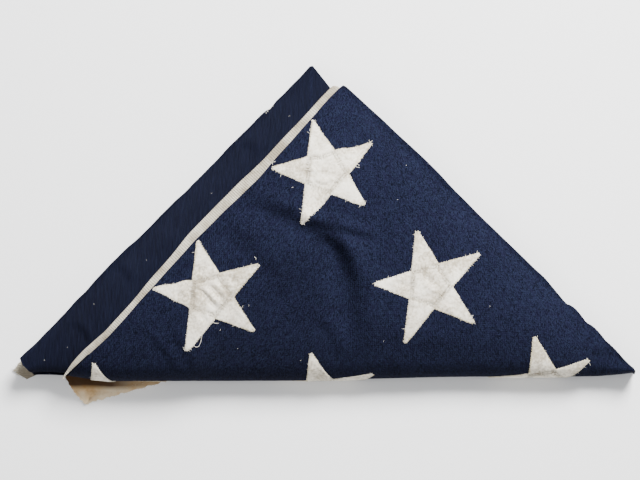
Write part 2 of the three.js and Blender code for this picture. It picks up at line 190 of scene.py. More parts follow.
# The flap has short creases of its own, across it.
FLAP_CREASES = [
    ("step", 1.3, 3, [[-72, 80], [-62, 76], [-52, 70]]),
    ("step", 1.2, 3.5, [[-178, -22], [-168, -32], [-160, -42]]),
    ("step", 1.4, 3, [[-216, -70], [-204, -82], [-196, -94]]),
    ("ridge", 0.8, 7, [[-150, 0], [-128, -4], [-112, -12]]),
]


def soft_route(points):
    """The line through points, sampled evenly, then averaged over its neighbours to round it."""
    at = np.linspace(0, len(points) - 1, ROUTE_POINTS)
    line = np.stack([np.interp(at, range(len(points)), column) for column in np.transpose(points)], 1)
    reach = ROUTE_POINTS // (2 * len(points))
    padded = np.pad(line, ((reach, reach), (0, 0)), mode="reflect", reflect_type="odd")
    return sum(padded[k : k + ROUTE_POINTS] for k in range(2 * reach + 1)) / (2 * reach + 1)


def beside(route, x, y):
    """Where each place lies by a route: how far along it, from 0 to 1, and how far to its left."""
    line = soft_route(route)
    ahead = np.gradient(line, axis=0)
    ahead /= np.linalg.norm(ahead, axis=1)[:, None]
    away = np.stack([x, y], -1)[..., None, :] - line
    nearest = (away**2).sum(-1).argmin(-1)
    away = np.take_along_axis(away, nearest[..., None, None], -2)[..., 0, :]
    step = ahead[nearest]
    length = np.linalg.norm(np.diff(line, axis=0), axis=1).sum() / (ROUTE_POINTS - 1)
    along = (nearest + (away * step).sum(-1) / length) / (ROUTE_POINTS - 1)
    return np.clip(along, 0, 1), step[..., 0] * away[..., 1] - step[..., 1] * away[..., 0]


def crease_height(kind, height, width, route, x, y):
    """A ridge is a bell curve across its route. A step goes down on the right and up on the left."""
    along, aside = beside(route, x, y)
    u = aside / width
    shape = u * np.exp((1 - u * u) / 2) if kind == "step" else np.exp(-u * u / 2)
    return height * ease(np.minimum(along, 1 - along), 0, CREASE_FADE) * shape


def creases(placed, x, y):
    """The sum of all the creases placed on a layer."""
    x, y = np.broadcast_arrays(x, y)
    return sum(crease_height(*crease, x, y) for crease in placed)


def roll(x, y):
    """The slow roll of the whole panel, which fades out at its edges."""
    return 0.6 * soft_noise(x, y, 4, 85) * np.minimum(crown(x, y), 1)


def layer_height(layer, x, y):
    """The middle of a layer's cloth above the table: its place in the pile, plus its share of the
    crown, plus the creases, which die away quickly from the top layer down."""
    share = layer / FRONT
    room = CORNER_ROOM * ease(-x, *CORNER_RISE)
    height = CLOTH / 2 + layer * PITCH + room + share * CROWN * crown(x, y)
    if layer >= FLAP - 1:
        height = height + share**6 * (creases(CREASES, x, y) + roll(x, y))
    if layer == FLAP:
        height = height + creases(FLAP_CREASES, x, y)
    if layer == FRONT:
        past_stripe = inside_of(STRIPE_SIDE, x, y) - STRIPE_HALF
        height = height + STRIPE_ROOM * (1 - ease(past_stripe, *STRIPE_FADE))
        height = height + 0.16 * soft_noise(x, y, 9, 17)
    return height


print("crown:", round(float(layer_height(FRONT, np.array([10.0]), np.array([-10.0]))[0]), 1), "mm high")

# %% [markdown]
# ## The path of the cloth
#
# The star field is one cloth that goes back and forth. In each plane across the length it starts at
# the front panel's edge, runs down the panel, turns under in one big soft fold, and then zigzags up
# through the layers until it ends as the rear flap. One function gives that path for every x at
# once, so the whole pile is a single sheet. Modelling the layers one by one would leave seams where
# a real cloth has folds.

# %% The bottom fold
FOLD_DEPTH, FOLD_SHARE = 13, 0.3
LIP = radians(8)
PAIR_INSET = [3, 1, 4.5, 2, 0]  # how far each pair of layers stops short of the stack's edge
# Small dents in the flap's edge: where, how wide, how deep.
DENTS = [(-46, 2.5, 2.0), (-157, 9, 1.3), (-203, 7, 1.6), (-95, 12, 0.8)]


def fold_at(x):
    """The bottom fold at x: an upright half ellipse between the front panel and the lowest layer."""
    bottom = soft_line(BOTTOM_EDGE, x, 15) + CLOTH / 2
    depth = np.minimum(FOLD_DEPTH, FOLD_SHARE * (line_at(STACK_EDGE, x) - bottom))
    y = bottom + depth
    low, high = layer_height(0, x, y), layer_height(FRONT, x, y)
    slope = layer_height(FRONT, x, y + 1) - high
    return SimpleNamespace(y=y, z=(low + high) / 2, depth=depth, half=(high - low) / 2, slope=slope)


def on_fold(fold, angle):
    """A place on the fold. Angle 0 is at the front panel and pi is the underside. The slope of the
    panel carries on into the fold and fades out round it."""
    lean = fold.slope * fold.depth * np.sin(angle) * np.cos(angle / 2) ** 2
    return fold.y - fold.depth * np.sin(angle), fold.z + fold.half * np.cos(angle) - lean


def stack_edge(pair, x):
    """How far a pair of layers reaches: the stack's edge, less its inset, with its own waver."""
    edge = soft_line(STACK_EDGE, x) - PAIR_INSET[pair] + 0.35 * waver(x, pair)
    for at, half, deep in DENTS:
        edge = edge - (pair == FLAP // 2) * deep * np.exp(-(((x - at) / half) ** 2))
    return edge


def turn_at(layer, x, fold):
    """Where a layer turns into the next: at the stack's edge, or inside the bottom fold."""
    if layer == FLAP:
        return fold.y
    outward = layer % 2 == 0
    edge = stack_edge(layer // 2, x) if outward else fold.y
    low = layer_height(layer, x, edge)
    half = (layer_height(layer + 1, x, edge) - low) / 2
    turn = half + CLOTH / 2
    if outward:
        return edge - turn
    reach = (np.abs(low + half - fold.z) + turn) / (fold.half - PITCH - GAP)
    room = np.maximum(fold.depth - PITCH - CLOTH / 2 - GAP, 0)
    return fold.y - room * np.sqrt(np.maximum(1 - reach**2, 0)) + turn


# %% One cloth, front panel to flap
FRONT_ROWS, FOLD_ROWS = 100, 18
HIDDEN_ROWS, FLAP_ROWS = 4, 36
TURN_ANGLES = np.radians([-60, -30, 0, 30, 60])[:, None]
END_ANGLES = np.radians([20, 40, 60, 75, 88])[:, None]


def front_rows(x, fold):
    """From the panel's free edge down to the fold. At the far left the edge lies on the fold."""
    edge = soft_line(FRONT_EDGE, x) + 0.3 * waver(x, 31, 40)
    start = np.arcsin(np.clip((fold.y - edge) / fold.depth, 0, 1))
    t = np.arange(FRONT_ROWS)[:, None] / FRONT_ROWS
    y = edge + (fold.y - edge) * t
    on_panel = (y, layer_height(FRONT, x, y))
    on_round = on_fold(fold, start + LIP * t)
    rows = [np.where(start > 0, b, a) for a, b in zip(on_panel, on_round)]
    lip = np.where(start > 0, start + LIP, 0)
    angle = lip + (pi - lip) * np.linspace(0, 1, FOLD_ROWS)[:, None]
    return [np.concatenate(pair) for pair in zip(rows, on_fold(fold, angle))]


def field_section(x):
    """The path of the cloth for each x, as two arrays of rows: how far back and how high."""
    fold = fold_at(x)
    parts = [front_rows(x, fold)]
    y = fold.y
    for layer in range(LAYERS - 1):
        end = turn_at(layer, x, fold)
        t = np.linspace(0, 1, FLAP_ROWS if layer == FLAP else HIDDEN_ROWS)[:, None]
        t = t**1.6 if layer == FLAP else t
        rows = y + (end - y) * (t[1:] if layer == 0 else t)
        parts.append((rows, layer_height(layer, x, rows)))
        if layer < FLAP:
            low = layer_height(layer, x, end)
            half = (layer_height(layer + 1, x, end) - low) / 2
            out = half if layer % 2 == 0 else -half
            parts.append((end + out * np.cos(TURN_ANGLES), low + half + half * np.sin(TURN_ANGLES)))
        y = end
    rise = layer_height(FLAP, x, fold.y) - fold.z
    depth = np.maximum(fold.depth - PITCH, GAP)
    parts.append((fold.y - depth * np.sin(END_ANGLES), fold.z + rise * np.cos(END_ANGLES)))
    return [np.concatenate(pair) for pair in zip(*parts)]


def sideways(u, v):
    """The direction to the right of a path at each of its rows, longer at corners so that a cloth
    keeps its thickness there: the two neighbours' directions, added and scaled."""
    du, dv = np.diff(u, axis=0), np.diff(v, axis=0)
    length = np.maximum(np.hypot(du, dv), 1e-9)
    across = np.stack([dv / length, -du / length])
    both = np.concatenate([across[:, :1], across], 1) + np.concatenate([across, across[:, -1:]], 1)
    return both / np.maximum((both**2).sum(0) / 2, 0.35)


STATIONS = 201
stations = np.linspace(FIRST_X, LAST_X, STATIONS)
path_y, path_z = field_section(stations)
print("the cloth's path has", len(path_y), "rows and", STATIONS, "stations")

# %% [markdown]
# ## From arrays to meshes
#
# A sheet has an upper and an under skin and a narrow rim, so it is a closed solid. Both skins are
# the same grid moved half a thickness to each side. Faces are rows of four corners, and a triangle
# repeats its last one. If the volume inside comes out negative, every face is turned round.

# %% Mesh helpers
SHARP = radians(50)


def grid_faces(rows, columns):
    """The faces of a closed sheet: the upper skin's grid, the under skin's, and the rim."""
    k = np.arange(rows * columns).reshape(rows, columns)
    skin = np.stack([k[:-1, :-1], k[:-1, 1:], k[1:, 1:], k[1:, :-1]], -1).reshape(-1, 4)
    rim = np.concatenate([k[0], k[1:, -1], k[-1, -2::-1], k[-2:0:-1, 0]])
    after = np.roll(rim, -1)
    under = rows * columns
    wall = np.stack([rim, rim + under, after + under, after], -1)
    return np.concatenate([skin, skin[:, ::-1] + under, wall])


def outward(points, faces):
    """The faces, turned so that they point out: the volume inside is a sum over corner triples."""
    a, b, c, d = (points[faces[:, k]] for k in range(4))
    volume = (a * np.cross(b, c)).sum() + (a * np.cross(c, d)).sum()
    return faces if volume > 0 else faces[:, ::-1]


def make_piece(name, points, faces, uv=None, tint=None, replaces=()):
    """A Blender object from arrays in millimetres, riding on the flag's one body."""
    mesh = bpy.data.meshes.new(name)
    corners = [tuple(dict.fromkeys(face)) for face in outward(points, faces).tolist()]
    mesh.from_pydata((points * MM).tolist(), [], corners)
    mesh.shade_smooth()
    mesh.set_sharp_from_angle(angle=SHARP)
    if uv is not None:
        vertex = np.empty(len(mesh.loops), int)
        mesh.loops.foreach_get("vertex_index", vertex)
        mesh.uv_layers.new(name="cloth").data.foreach_set("uv", (uv[vertex] * MM).ravel())
    if tint is not None:
        mesh.attributes.new("tint", "FLOAT", "POINT").data.foreach_set("value", tint)
    piece = bpy.data.objects.new(name, mesh)
    bpy.context.scene.collection.objects.link(piece)
    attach(piece, "root")
    if replaces:
        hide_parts(*replaces)
    print(name, "has", len(mesh.polygons), "faces")
    return piece


def two_skins(middle, normal, thickness):
    """The upper skin's points, then the under skin's, from a sheet's middle and its normals."""
    half = np.multiply(thickness, 0.5)
    return np.concatenate([(middle + half * normal).reshape(-1, 3), (middle - half * normal).reshape(-1, 3)])


# %% [markdown]
# ## The blue field
#
# The path at every station becomes one grid. The cloth's own coordinates, across the flag and along
# the path, are kept as its UV map, so that the weave follows the cloth round its folds. The layers
# from the flap's back on are cut on another slant of the weave, as they are on a folded flag.

# %% The field's mesh
FLAP_GRAIN = radians(42)


def true_x(x, y):
    """The real place of a station: straight across, but leaning over the last stretch at each end."""
    left = line_at(LEFT_END, np.clip(y, LEFT_END[0][0], LEFT_END[-1][0])) - FIRST_X
    right = RIGHT_END.x - RIGHT_END.slope * np.abs(y - RIGHT_END.y) - LAST_X
    near_left = np.clip(1 - (x - FIRST_X) / LEAN, 0, 1)
    near_right = np.clip(1 - (LAST_X - x) / LEAN, 0, 1)
    return x + left * near_left + right * near_right


def path_length(y, z):
    """How far along the path each row is."""
    steps = np.hypot(np.diff(y, axis=0), np.diff(z, axis=0))
    return np.concatenate([np.zeros((1, y.shape[1])), np.cumsum(steps, axis=0)])


across_y, across_z = sideways(path_y, path_z)
middle = np.stack([true_x(stations, path_y), path_y, path_z], -1)
normal = np.stack([np.zeros_like(path_y), across_y, across_z], -1)
run = path_length(path_y, path_z)
grain_u, grain_v = np.broadcast_to(stations, run.shape), -run
flap_start = FRONT_ROWS + FOLD_ROWS + (FLAP - 1) * (HIDDEN_ROWS + len(TURN_ANGLES))
on_flap = (np.arange(len(run)) > flap_start)[:, None]
turned_u = grain_u * cos(FLAP_GRAIN) - grain_v * sin(FLAP_GRAIN)
turned_v = grain_u * sin(FLAP_GRAIN) + grain_v * cos(FLAP_GRAIN)
grain = np.stack([np.where(on_flap, turned_u, grain_u), np.where(on_flap, turned_v, grain_v)], -1)
field = make_piece(
    "field_cloth",
    two_skins(middle, normal, THIN),
    grid_faces(*run.shape),
    uv=np.tile(grain.reshape(-1, 2), (2, 1)),
    replaces=["blue_field"],
)

# %% [markdown]
# ## A map of the cloth
#
# Stars and stitches are sewn on while the flag is flat. So they are drawn flat too, in cloth
# coordinates: x, and the distance s along the cloth up from its lowest line. This map then lays any
# such point on the folded panel. It is a table of places at even steps of x and s, read with
# weights, so it follows the field's own facets.

# %% Cloth coordinates to places
MAP_STEP = 1.0
PANEL_ROWS = FRONT_ROWS + FOLD_ROWS
panel_run = run[:PANEL_ROWS]
lowest = path_y[:PANEL_ROWS].argmin(axis=0)
panel_s = np.take_along_axis(panel_run, lowest[None], 0) - panel_run
map_s = np.arange(panel_s.min(), panel_s.max(), MAP_STEP)


def even_rows(values):
    """A column of values for each station, read off at even steps of s."""
    columns = [np.interp(map_s, panel_s[::-1, i], values[:PANEL_ROWS][::-1, i]) for i in range(STATIONS)]
    return np.stack(columns, 1)


map_y, map_z = even_rows(path_y), even_rows(path_z)
station_step = stations[1] - stations[0]
slope_y_s, slope_y_x = np.gradient(map_y, MAP_STEP, station_step)
slope_z_s, slope_z_x = np.gradient(map_z, MAP_STEP, station_step)
map_normal = np.stack([slope_y_x * slope_z_s - slope_z_x * slope_y_s, -slope_z_s, slope_y_s], -1)
map_normal /= np.maximum(np.linalg.norm(map_normal, axis=-1), 1e-9)[..., None]
cloth_map = np.concatenate([map_y[..., None], map_z[..., None], map_normal], -1)


def read_map(x, s):
    """The map at x and s, between its four nearest entries in proportion to how near each is."""
    i = np.clip((x - FIRST_X) / station_step, 0, STATIONS - 1.001)
    j = np.clip((s - map_s[0]) / MAP_STEP, 0, len(map_s) - 1.001)
    i0, j0 = i.astype(int), j.astype(int)
    fi, fj = (i - i0)[..., None], (j - j0)[..., None]
    low = cloth_map[j0, i0] * (1 - fi) + cloth_map[j0, i0 + 1] * fi
    high = cloth_map[j0 + 1, i0] * (1 - fi) + cloth_map[j0 + 1, i0 + 1] * fi
    return low * (1 - fj) + high * fj


def onto_cloth(flat):
    """Places for points given as x, s and how far out from the middle of the cloth they stand."""
    found = read_map(flat[..., 0], flat[..., 1])
    foot = np.concatenate([flat[..., :1], found[..., :2]], -1)
    return foot + flat[..., 2:] * found[..., 2:]


def flat_of(x, y):
    """The s of the place on the upper panel that lies at x and y, seen from above."""
    i = int(round((x - FIRST_X) / station_step))
    top = lowest[i]
    return float(np.interp(y, path_y[:top, i][::-1], panel_s[:top, i][::-1]))


STAR_STOP = 5 / 6  # a star that goes over the fold is shown down to this share of the way round
under_s = panel_s[FRONT_ROWS + round(STAR_STOP * (FOLD_ROWS - 1))]
print("the map covers s from", round(map_s[0], 1), "to", round(map_s[-1], 1), "mm")

# %% [markdown]
# ## Writing finishes
#
# Cotton is a shader with a weave. Sums and products of values are clearer as Python expressions than
# as a picture of boxes, so a small class wraps a socket and turns + - * / into Math nodes. Every
# other node is added by one method, which sets the node's settings first and then its sockets.

# %% Shader maths
class Socket:
    """One output of a node. Arithmetic on it adds Math nodes to the same finish."""

    def __init__(self, finish, output):
        self.finish, self.output = finish, output

    def math(self, operation, *values):
        sockets = dict(enumerate(values))
        return self.finish.node("ShaderNodeMath", {"operation": operation}, sockets)

    def __add__(self, other):
        return self.math("ADD", self, other)

    def __sub__(self, other):
        return self.math("SUBTRACT", self, other)

    def __rsub__(self, other):
        return self.math("SUBTRACT", other, self)

    def __mul__(self, other):
        return self.math("MULTIPLY", self, other)

    def __truediv__(self, other):
        return self.math("DIVIDE", self, other)

    def __pow__(self, other):
        return self.math("POWER", self, other)

    def __abs__(self):
        return self.math("ABSOLUTE", self)

    def sine(self):
        return self.math("SINE", self)

    def clamped(self):
        return self.math("MINIMUM", self.math("MAXIMUM", self, 0.0), 1.0)

    __radd__, __rmul__ = __add__, __mul__


class Finish:
    """A material under construction."""

    def __init__(self, name):
        self.material = bpy.data.materials.new(name)
        self.material.use_nodes = True
        self.tree = self.material.node_tree
        self.tree.nodes.clear()

    def node(self, kind, settings=None, sockets=None, output=0):
        """Adds a node: its settings, then a value or a link for each socket. Gives one output."""
        node = self.tree.nodes.new(kind)
        for key, value in (settings or {}).items():
            if key == "stops":
                for stop, (place, colour) in zip(self.stops(node, len(value)), value):
                    stop.position, stop.color = place, colour
            else:
                setattr(node, key, value)
        for key, value in (sockets or {}).items():
            if isinstance(value, Socket):
                self.tree.links.new(value.output, node.inputs[key])
            else:
                node.inputs[key].default_value = value
        return Socket(self, node.outputs[output]) if len(node.outputs) else None

    @staticmethod
    def stops(node, count):
        """A ramp's stops, as many as asked for."""
        elements = node.color_ramp.elements
        while len(elements) < count:
            elements.new(0.5)
        return elements

    def mix(self, share, first, second, blend="MIX"):
        """One colour into another."""
        settings = {"data_type": "RGBA", "blend_type": blend}
        return self.node("ShaderNodeMix", settings, {0: share, 6: first, 7: second}, output=2)

    def noise(self, vector, scale, detail=3.0, stretch=(1, 1, 1)):
        """Cloudy noise around 0.5, stretched along an axis if asked."""
        sockets = {"Vector": vector, "Scale": stretch}
        placed = self.node("ShaderNodeMapping", {"vector_type": "POINT"}, sockets)
        return self.node(
            "ShaderNodeTexNoise", None, {"Vector": placed, "Scale": scale, "Detail": detail, "Roughness": 0.6}
        )

    def bump(self, height, distance, strength=1.0, under=None):
        """Turns a height, in millimetres times distance, into a normal."""
        sockets = {"Height": height, "Distance": distance * MM, "Strength": strength}
        if under is not None:
            sockets["Normal"] = under
        return self.node("ShaderNodeBump", None, sockets)

    def surface(self, colour, roughness, normal, sheen, shine=0.15):
        """Cloth's own shader: rough, hardly shiny, with a little sheen from its fuzz."""
        shader = self.node(
            "ShaderNodeBsdfPrincipled",
            None,
            {
                "Base Color": colour,
                "Roughness": roughness,
                "Normal": normal,
                "Specular IOR Level": shine,
                "Sheen Weight": sheen,
                "Sheen Roughness": 0.6,
            },
        )
        self.node("ShaderNodeOutputMaterial", None, {"Surface": shader})
        return self.material


# %% [markdown]
# ## The finishes
#
# All the cloth here is plain-woven cotton. A plain weave is two sets of yarns that pass over and
# under each other: the product of two sine waves stands high where one yarn is on top and low where
# the other is. Yarns are uneven, so a stretched noise thickens and thins them. Large soft noise gives
# the fading and the dirt.

# %% Weave
def weave(finish, pitch, rib, slub):
    """Cloth heights of about 0 to 1 from the cloth's own coordinates. Ribs run along the cloth and
    stand out by rib, the over-and-under by the rest, and slub is how uneven the yarns are."""
    cloth = finish.node("ShaderNodeUVMap", {"uv_map": "cloth"})
    parts = finish.node("ShaderNodeSeparateXYZ", None, {"Vector": cloth})
    u = parts
    v = Socket(finish, parts.output.node.outputs[1])
    turns = 2 * pi / (pitch * MM)
    wander = finish.noise(cloth, 160, 2.0)
    u_wave = (u * turns + wander * 1.4).sine()
    v_wave = (v * turns + wander * 1.1).sine()
    yarn_u = finish.noise(cloth, 1500, 2.0, stretch=(1, 0.3, 1))
    yarn_v = finish.noise(cloth, 1500, 2.0, stretch=(0.3, 1, 1))
    uneven = (yarn_u + yarn_v) * slub
    return (u_wave * rib + u_wave * v_wave * (1 - rib)) * 0.5 + 0.5 + uneven - slub, cloth


def blue_cotton():
    """Navy cotton: a fine ribbed weave whose yarns each took the dye a little differently, so that
    the cloth is mottled, with larger patches that have faded."""
    finish = Finish("blue_cotton")
    height, cloth = weave(finish, 1.7, 0.5, 0.5)
    place = finish.node("ShaderNodeTexCoord", output=3)
    patches = finish.noise(place, 14, 4.0)
    grain = finish.noise(cloth, 1700, 2.0)
    sockets = {"Vector": cloth, "Scale": (1, 0.7, 1)}
    stretched = finish.node("ShaderNodeMapping", {"vector_type": "POINT"}, sockets)
    floats = finish.node("ShaderNodeTexVoronoi", None, {"Vector": stretched, "Scale": 1500}, output=1)
    mottle = patches * 0.15 + grain * 0.35 + floats * 0.5
    shade = finish.node(
        "ShaderNodeValToRGB",
        {"stops": [(0.37, (0.0007, 0.0009, 0.0036, 1)), (0.63, (0.0090, 0.0118, 0.0282, 1))]},
        {0: mottle},
    )
    violet = finish.noise(cloth, 240, 2.0)
    violet_shade = finish.mix(0.5, shade, (0.0045, 0.0038, 0.0150, 1))
    dyed = finish.mix((violet * 4 - 1.7).clamped(), shade, violet_shade)
    # Painted highlight: the cloth is lighter where its weave stands high.
    threads = finish.mix((height * 0.5).clamped() * 0.3, dyed, (0.0105, 0.0135, 0.0290, 1))
    return finish.surface(threads, 0.93, finish.bump(height, 0.3), 0.01, 0.04)


def white_cotton():
    """Greyed white cotton with coarse ribs across the strip, painted shade between them, and dirt in patches.
    """
    finish = Finish("white_cotton")
    height, _ = weave(finish, 2.0, 0.8, 1.1)
    place = finish.node("ShaderNodeTexCoord", output=3)
    dirt = finish.noise(place, 46, 5.0)
    shade = finish.node(
        "ShaderNodeValToRGB",
        {
            "stops": [
                (0.38, (0.26, 0.22, 0.16, 1)),
                (0.5, (0.44, 0.40, 0.32, 1)),
                (0.62, (0.58, 0.54, 0.45, 1)),
            ]
        },
        {0: dirt},
    )
    # Painted shade: the low parts of the weave, between the ribs, are darker.
    ribs_with_painted_shade = finish.mix((height * 0.9).clamped(), finish.mix(0.6, shade, (0.24, 0.21, 0.155, 1)), shade)
    # The tint greys the piece: on the stripe end, its left tip goes dark grey.
    worn = finish.node("ShaderNodeAttribute", {"attribute_name": "tint"}, output=2)
    grey = finish.mix(worn, ribs_with_painted_shade, (0.17, 0.16, 0.145, 1))
    return finish.surface(grey, 0.9, finish.bump(height, 0.35), 0.05)


FOLD_SHADE_FROM, FOLD_SHADE_OVER = -131.6, 4.2  # painted shade from the bottom fold, with some dirt: dark brown from this y on, over so many millimetres
FOLD_SHADE_FADE_FROM, FOLD_SHADE_FADE_OVER = -148, 34  # and the painted shade fades from the left to this x, over so many


def cream_cotton():
    """Cotton gone cream with age, orange in patches, and dark brown under the fold: painted shade with some
    dirt.
    """
    finish = Finish("cream_cotton")
    height, _ = weave(finish, 1.3, 0.3, 0.6)
    place = finish.node("ShaderNodeTexCoord", output=3)
    stain = finish.noise(place, 30, 5.0)
    shade = finish.node(
        "ShaderNodeValToRGB",
        {
            "stops": [
                (0.34, (0.46, 0.25, 0.085, 1)),
                (0.48, (0.72, 0.53, 0.31, 1)),
                (0.62, (0.84, 0.73, 0.55, 1)),
            ]
        },
        {0: stain},
    )
    back = finish.node("ShaderNodeSeparateXYZ", None, {"Vector": place}, output=1)
    right = finish.node("ShaderNodeSeparateXYZ", None, {"Vector": place}, output=0)
    # Painted shade under the bottom fold, with some dirt: dark brown at the back, fading out towards the
    # right.
    under = (back - FOLD_SHADE_FROM * MM) / (FOLD_SHADE_OVER * MM) + (stain - 0.5) * 1.4
    left = ((FOLD_SHADE_FADE_FROM * MM - right) / (FOLD_SHADE_FADE_OVER * MM)).clamped()
    with_painted_fold_shade = finish.mix(under.clamped() * (left * 0.6 + 0.38), shade, (0.05, 0.023, 0.009, 1))
    return finish.surface(with_painted_fold_shade, 0.9, finish.bump(height, 0.25), 0.05)


def star_cotton():
    """Off-white cotton of the stars, soft grey in places and yellowed in others. The seams are darker,
    as far as the tint says: some dirt, and painted shade in their grooves."""
    finish = Finish("star_cotton")
    height, cloth = weave(finish, 1.2, 0.2, 0.35)
    place = finish.node("ShaderNodeTexCoord", output=3)
    worn = finish.noise(place, 34, 5.0)
    fine = finish.noise(cloth, 420, 3.0)
    shade = finish.node(
        "ShaderNodeValToRGB",
        {
            "stops": [
                (0.41, (0.42, 0.365, 0.275, 1)),
                (0.5, (0.70, 0.64, 0.53, 1)),
                (0.58, (0.85, 0.80, 0.69, 1)),
            ]
        },
        {0: worn * 0.6 + fine * 0.4},
    )
    # The tint darkens the seams: some dirt, and painted shade in the stitch grooves.
    seam_shade_and_dirt_share = finish.node("ShaderNodeAttribute", {"attribute_name": "tint"}, output=2)
    dashes = finish.noise(cloth, 700, 1.0)
    with_seam_shade_and_dirt = finish.mix((seam_shade_and_dirt_share * (dashes * 3 - 0.5)).clamped(), shade, (0.20, 0.17, 0.125, 1))
    return finish.surface(with_seam_shade_and_dirt, 0.88, finish.bump(height, 0.22), 0.05)


def sewing_thread():
    """Cotton thread: off-white, and yellowed or greyed where its tint says so."""
    finish = Finish("sewing_thread")
    tint = finish.node("ShaderNodeAttribute", {"attribute_name": "tint"}, output=2)
    place = finish.node("ShaderNodeTexCoord", output=3)
    twist = finish.noise(place, 1500, 1.0)
    shade = finish.node(
        "ShaderNodeValToRGB",
        {"stops": [(0.0, (0.74, 0.71, 0.63, 1)), (0.5, (0.62, 0.54, 0.33, 1)), (1.0, (0.33, 0.30, 0.24, 1))]},
        {0: tint},
    )
    return finish.surface(shade, 0.85, finish.bump(twist, 0.1), 0.1)


finishes = {
    "blue": blue_cotton(),
    "white": white_cotton(),
    "cream": cream_cotton(),
    "star": star_cotton(),
    "thread": sewing_thread(),
}
field.data.materials.append(finishes["blue"])
print("finishes:", ", ".join(finishes))

# %% [markdown]
# ## The stars
#
# Each star is cut from white cotton and sewn down round its edge. A five-pointed star has a handy
# property: all its ten edges are equally far from its centre. So rings drawn at a share t of the way
# from the centre to the outline are at an even distance from the edge, and one grid of rings and
# rays gives the whole star. Its cloth is drawn down at the stitching, and puckers between.

# %% Star shape
STAR_RADIUS, STAR_WAIST, TIP_WIDTH = 49, 0.41, 2.4
# How long each star's points are, from the right one round to the left.
STAR_TIPS = {
    0: [45.5, 45.9, 45.0, 49.6, 44.0],
    1: [48.0, 47.2, 48.0, 51.3, 48.6],
    2: [49.2, 47.8, 46.6, 51.9, 50.0],
    5: [44.0, 49.0, 49.0, 49.0, 49.0],
}
# The last star's right point turns up, and is drawn in below, as the cloth goes over the fold.
NARROW = {5: [1, 1, 1, 1, 0.62]}
TURNED = {3: [-6, 0, 0, 0, 0], 5: [5.5, 0, 0, 0, 0]}
STAR_TURN = radians(30.8)
STAR_TOPS = [[-9.5, 97], [-107, -5.5], [78, 4], [-195.5, -108.5], [-11.5, -100], [178, -86.2]]
STAR_FOOT = THIN / 2 + 0.1  # the under side of a star, out from the middle of the field's cloth
STAR_LOW, STAR_FULL = 0.25, 0.75  # its thickness at the edge, and inside
RING_DEPTHS = np.concatenate([[0, 0.3, 0.7, 1.2], np.arange(2, 16, 0.85)])
PUCKER = 2.2  # how much of their height the puckers show
# Puckers in each star: kind, height, width and a route, from the star's centre.
PUCKERS = {
    0: [
        ("step", 0.45, 1.6, [[-11, -6], [-2, -10], [8, -6]]),
        ("ridge", -0.5, 1.5, [[-13, -14], [-7, -18]]),
        ("ridge", -0.35, 2.2, [[-6, 3], [2, -3], [9, -2]]),
        ("ridge", 0.4, 2.0, [[-20, 4], [-12, 1], [-4, 2]]),
        ("ridge", 0.4, 2.2, [[14, 10], [22, 17], [30, 20]]),
        ("ridge", -0.35, 1.6, [[-8, 24], [-3, 18]]),
    ],
    1: [
        ("ridge", -0.65, 1.3, [[-11, 8], [-3, -2], [8, -14]]),
        ("ridge", 0.6, 1.5, [[-7, 9], [1, 0], [11, -11]]),
        ("ridge", -0.55, 1.2, [[-2, 10], [4, 3], [11, -5]]),
        ("ridge", 0.45, 1.5, [[2, 12], [9, 4], [14, -1]]),
        ("ridge", -0.45, 1.2, [[-30, 5], [-25, -3]]),
        ("ridge", 0.4, 1.2, [[-24, 7], [-19, -2]]),
        ("ridge", -0.45, 1.2, [[-10, -14], [-2, -23]]),
        ("ridge", 0.35, 1.4, [[-14, -14], [-8, -24]]),
        ("ridge", -0.4, 1.2, [[16, 16], [22, 9]]),
        ("ridge", 0.35, 1.2, [[20, 19], [27, 12]]),
        ("ridge", -0.45, 1.4, [[-11, 22], [-4, 19]]),
    ],
    2: [
        ("ridge", -0.45, 1.4, [[-8, 12], [0, 4], [10, 0]]),
        ("ridge", 0.4, 1.6, [[-6, 4], [2, -4], [12, -8]]),
        ("ridge", -0.35, 1.6, [[-28, 4], [-18, 0]]),
        ("ridge", 0.35, 1.6, [[14, -16], [20, -26]]),
        ("ridge", -0.35, 1.4, [[18, 14], [28, 16]]),
    ],
}


def tips_of(k):
    """How long the five points of star k are."""
    return np.array(STAR_TIPS.get(k, [STAR_RADIUS] * 5), float)


def star_corners(k):
    """The fifteen corners of star k from its centre: each tip is cut blunt, so it has two."""
    blunt = np.arctan2(TIP_WIDTH / 2, STAR_RADIUS)
    turned = np.radians(np.array(TURNED.get(k, [0] * 5), float))[:, None] * [1, 1, 0]
    corners_of_one = np.array([-blunt, blunt, radians(36)])
    angles = STAR_TURN + np.radians(72) * np.arange(5)[:, None] + corners_of_one + turned
    tips = tips_of(k)[:, None]
    waists = STAR_RADIUS * STAR_WAIST * np.array(NARROW.get(k, [1] * 5), float)[:, None]
    away = np.concatenate([tips, tips, waists], 1)
    return np.stack([away * np.cos(angles), away * np.sin(angles)], -1).reshape(-1, 2)


def around(corners, spacing):
    """Points round a closed outline, about spacing apart, with every corner among them."""
    ahead = np.roll(corners, -1, axis=0)
    counts = np.maximum(np.round(np.linalg.norm(ahead - corners, axis=1) / spacing), 1).astype(int)
    sides = [a + (b - a) * (np.arange(n) / n)[:, None] for a, b, n in zip(corners, ahead, counts)]
    return np.concatenate(sides)


waist_angle = radians(36)
edge_length = STAR_RADIUS * np.hypot(1 - STAR_WAIST * cos(waist_angle), STAR_WAIST * sin(waist_angle))
STAR_EDGE = STAR_RADIUS**2 * STAR_WAIST * sin(waist_angle) / edge_length
print("a star's edges are", round(float(edge_length), 1), "mm long and", round(float(STAR_EDGE), 1), "mm out")


# %% Star cloth
SEAMS_OUT = [15.4, 13.2]  # two rows of stitches cross the root of each point, this far out
SEAM_HALF, SEAM_WIDTH, SEAM_DEPTH = 11.5, 0.6, 0.35


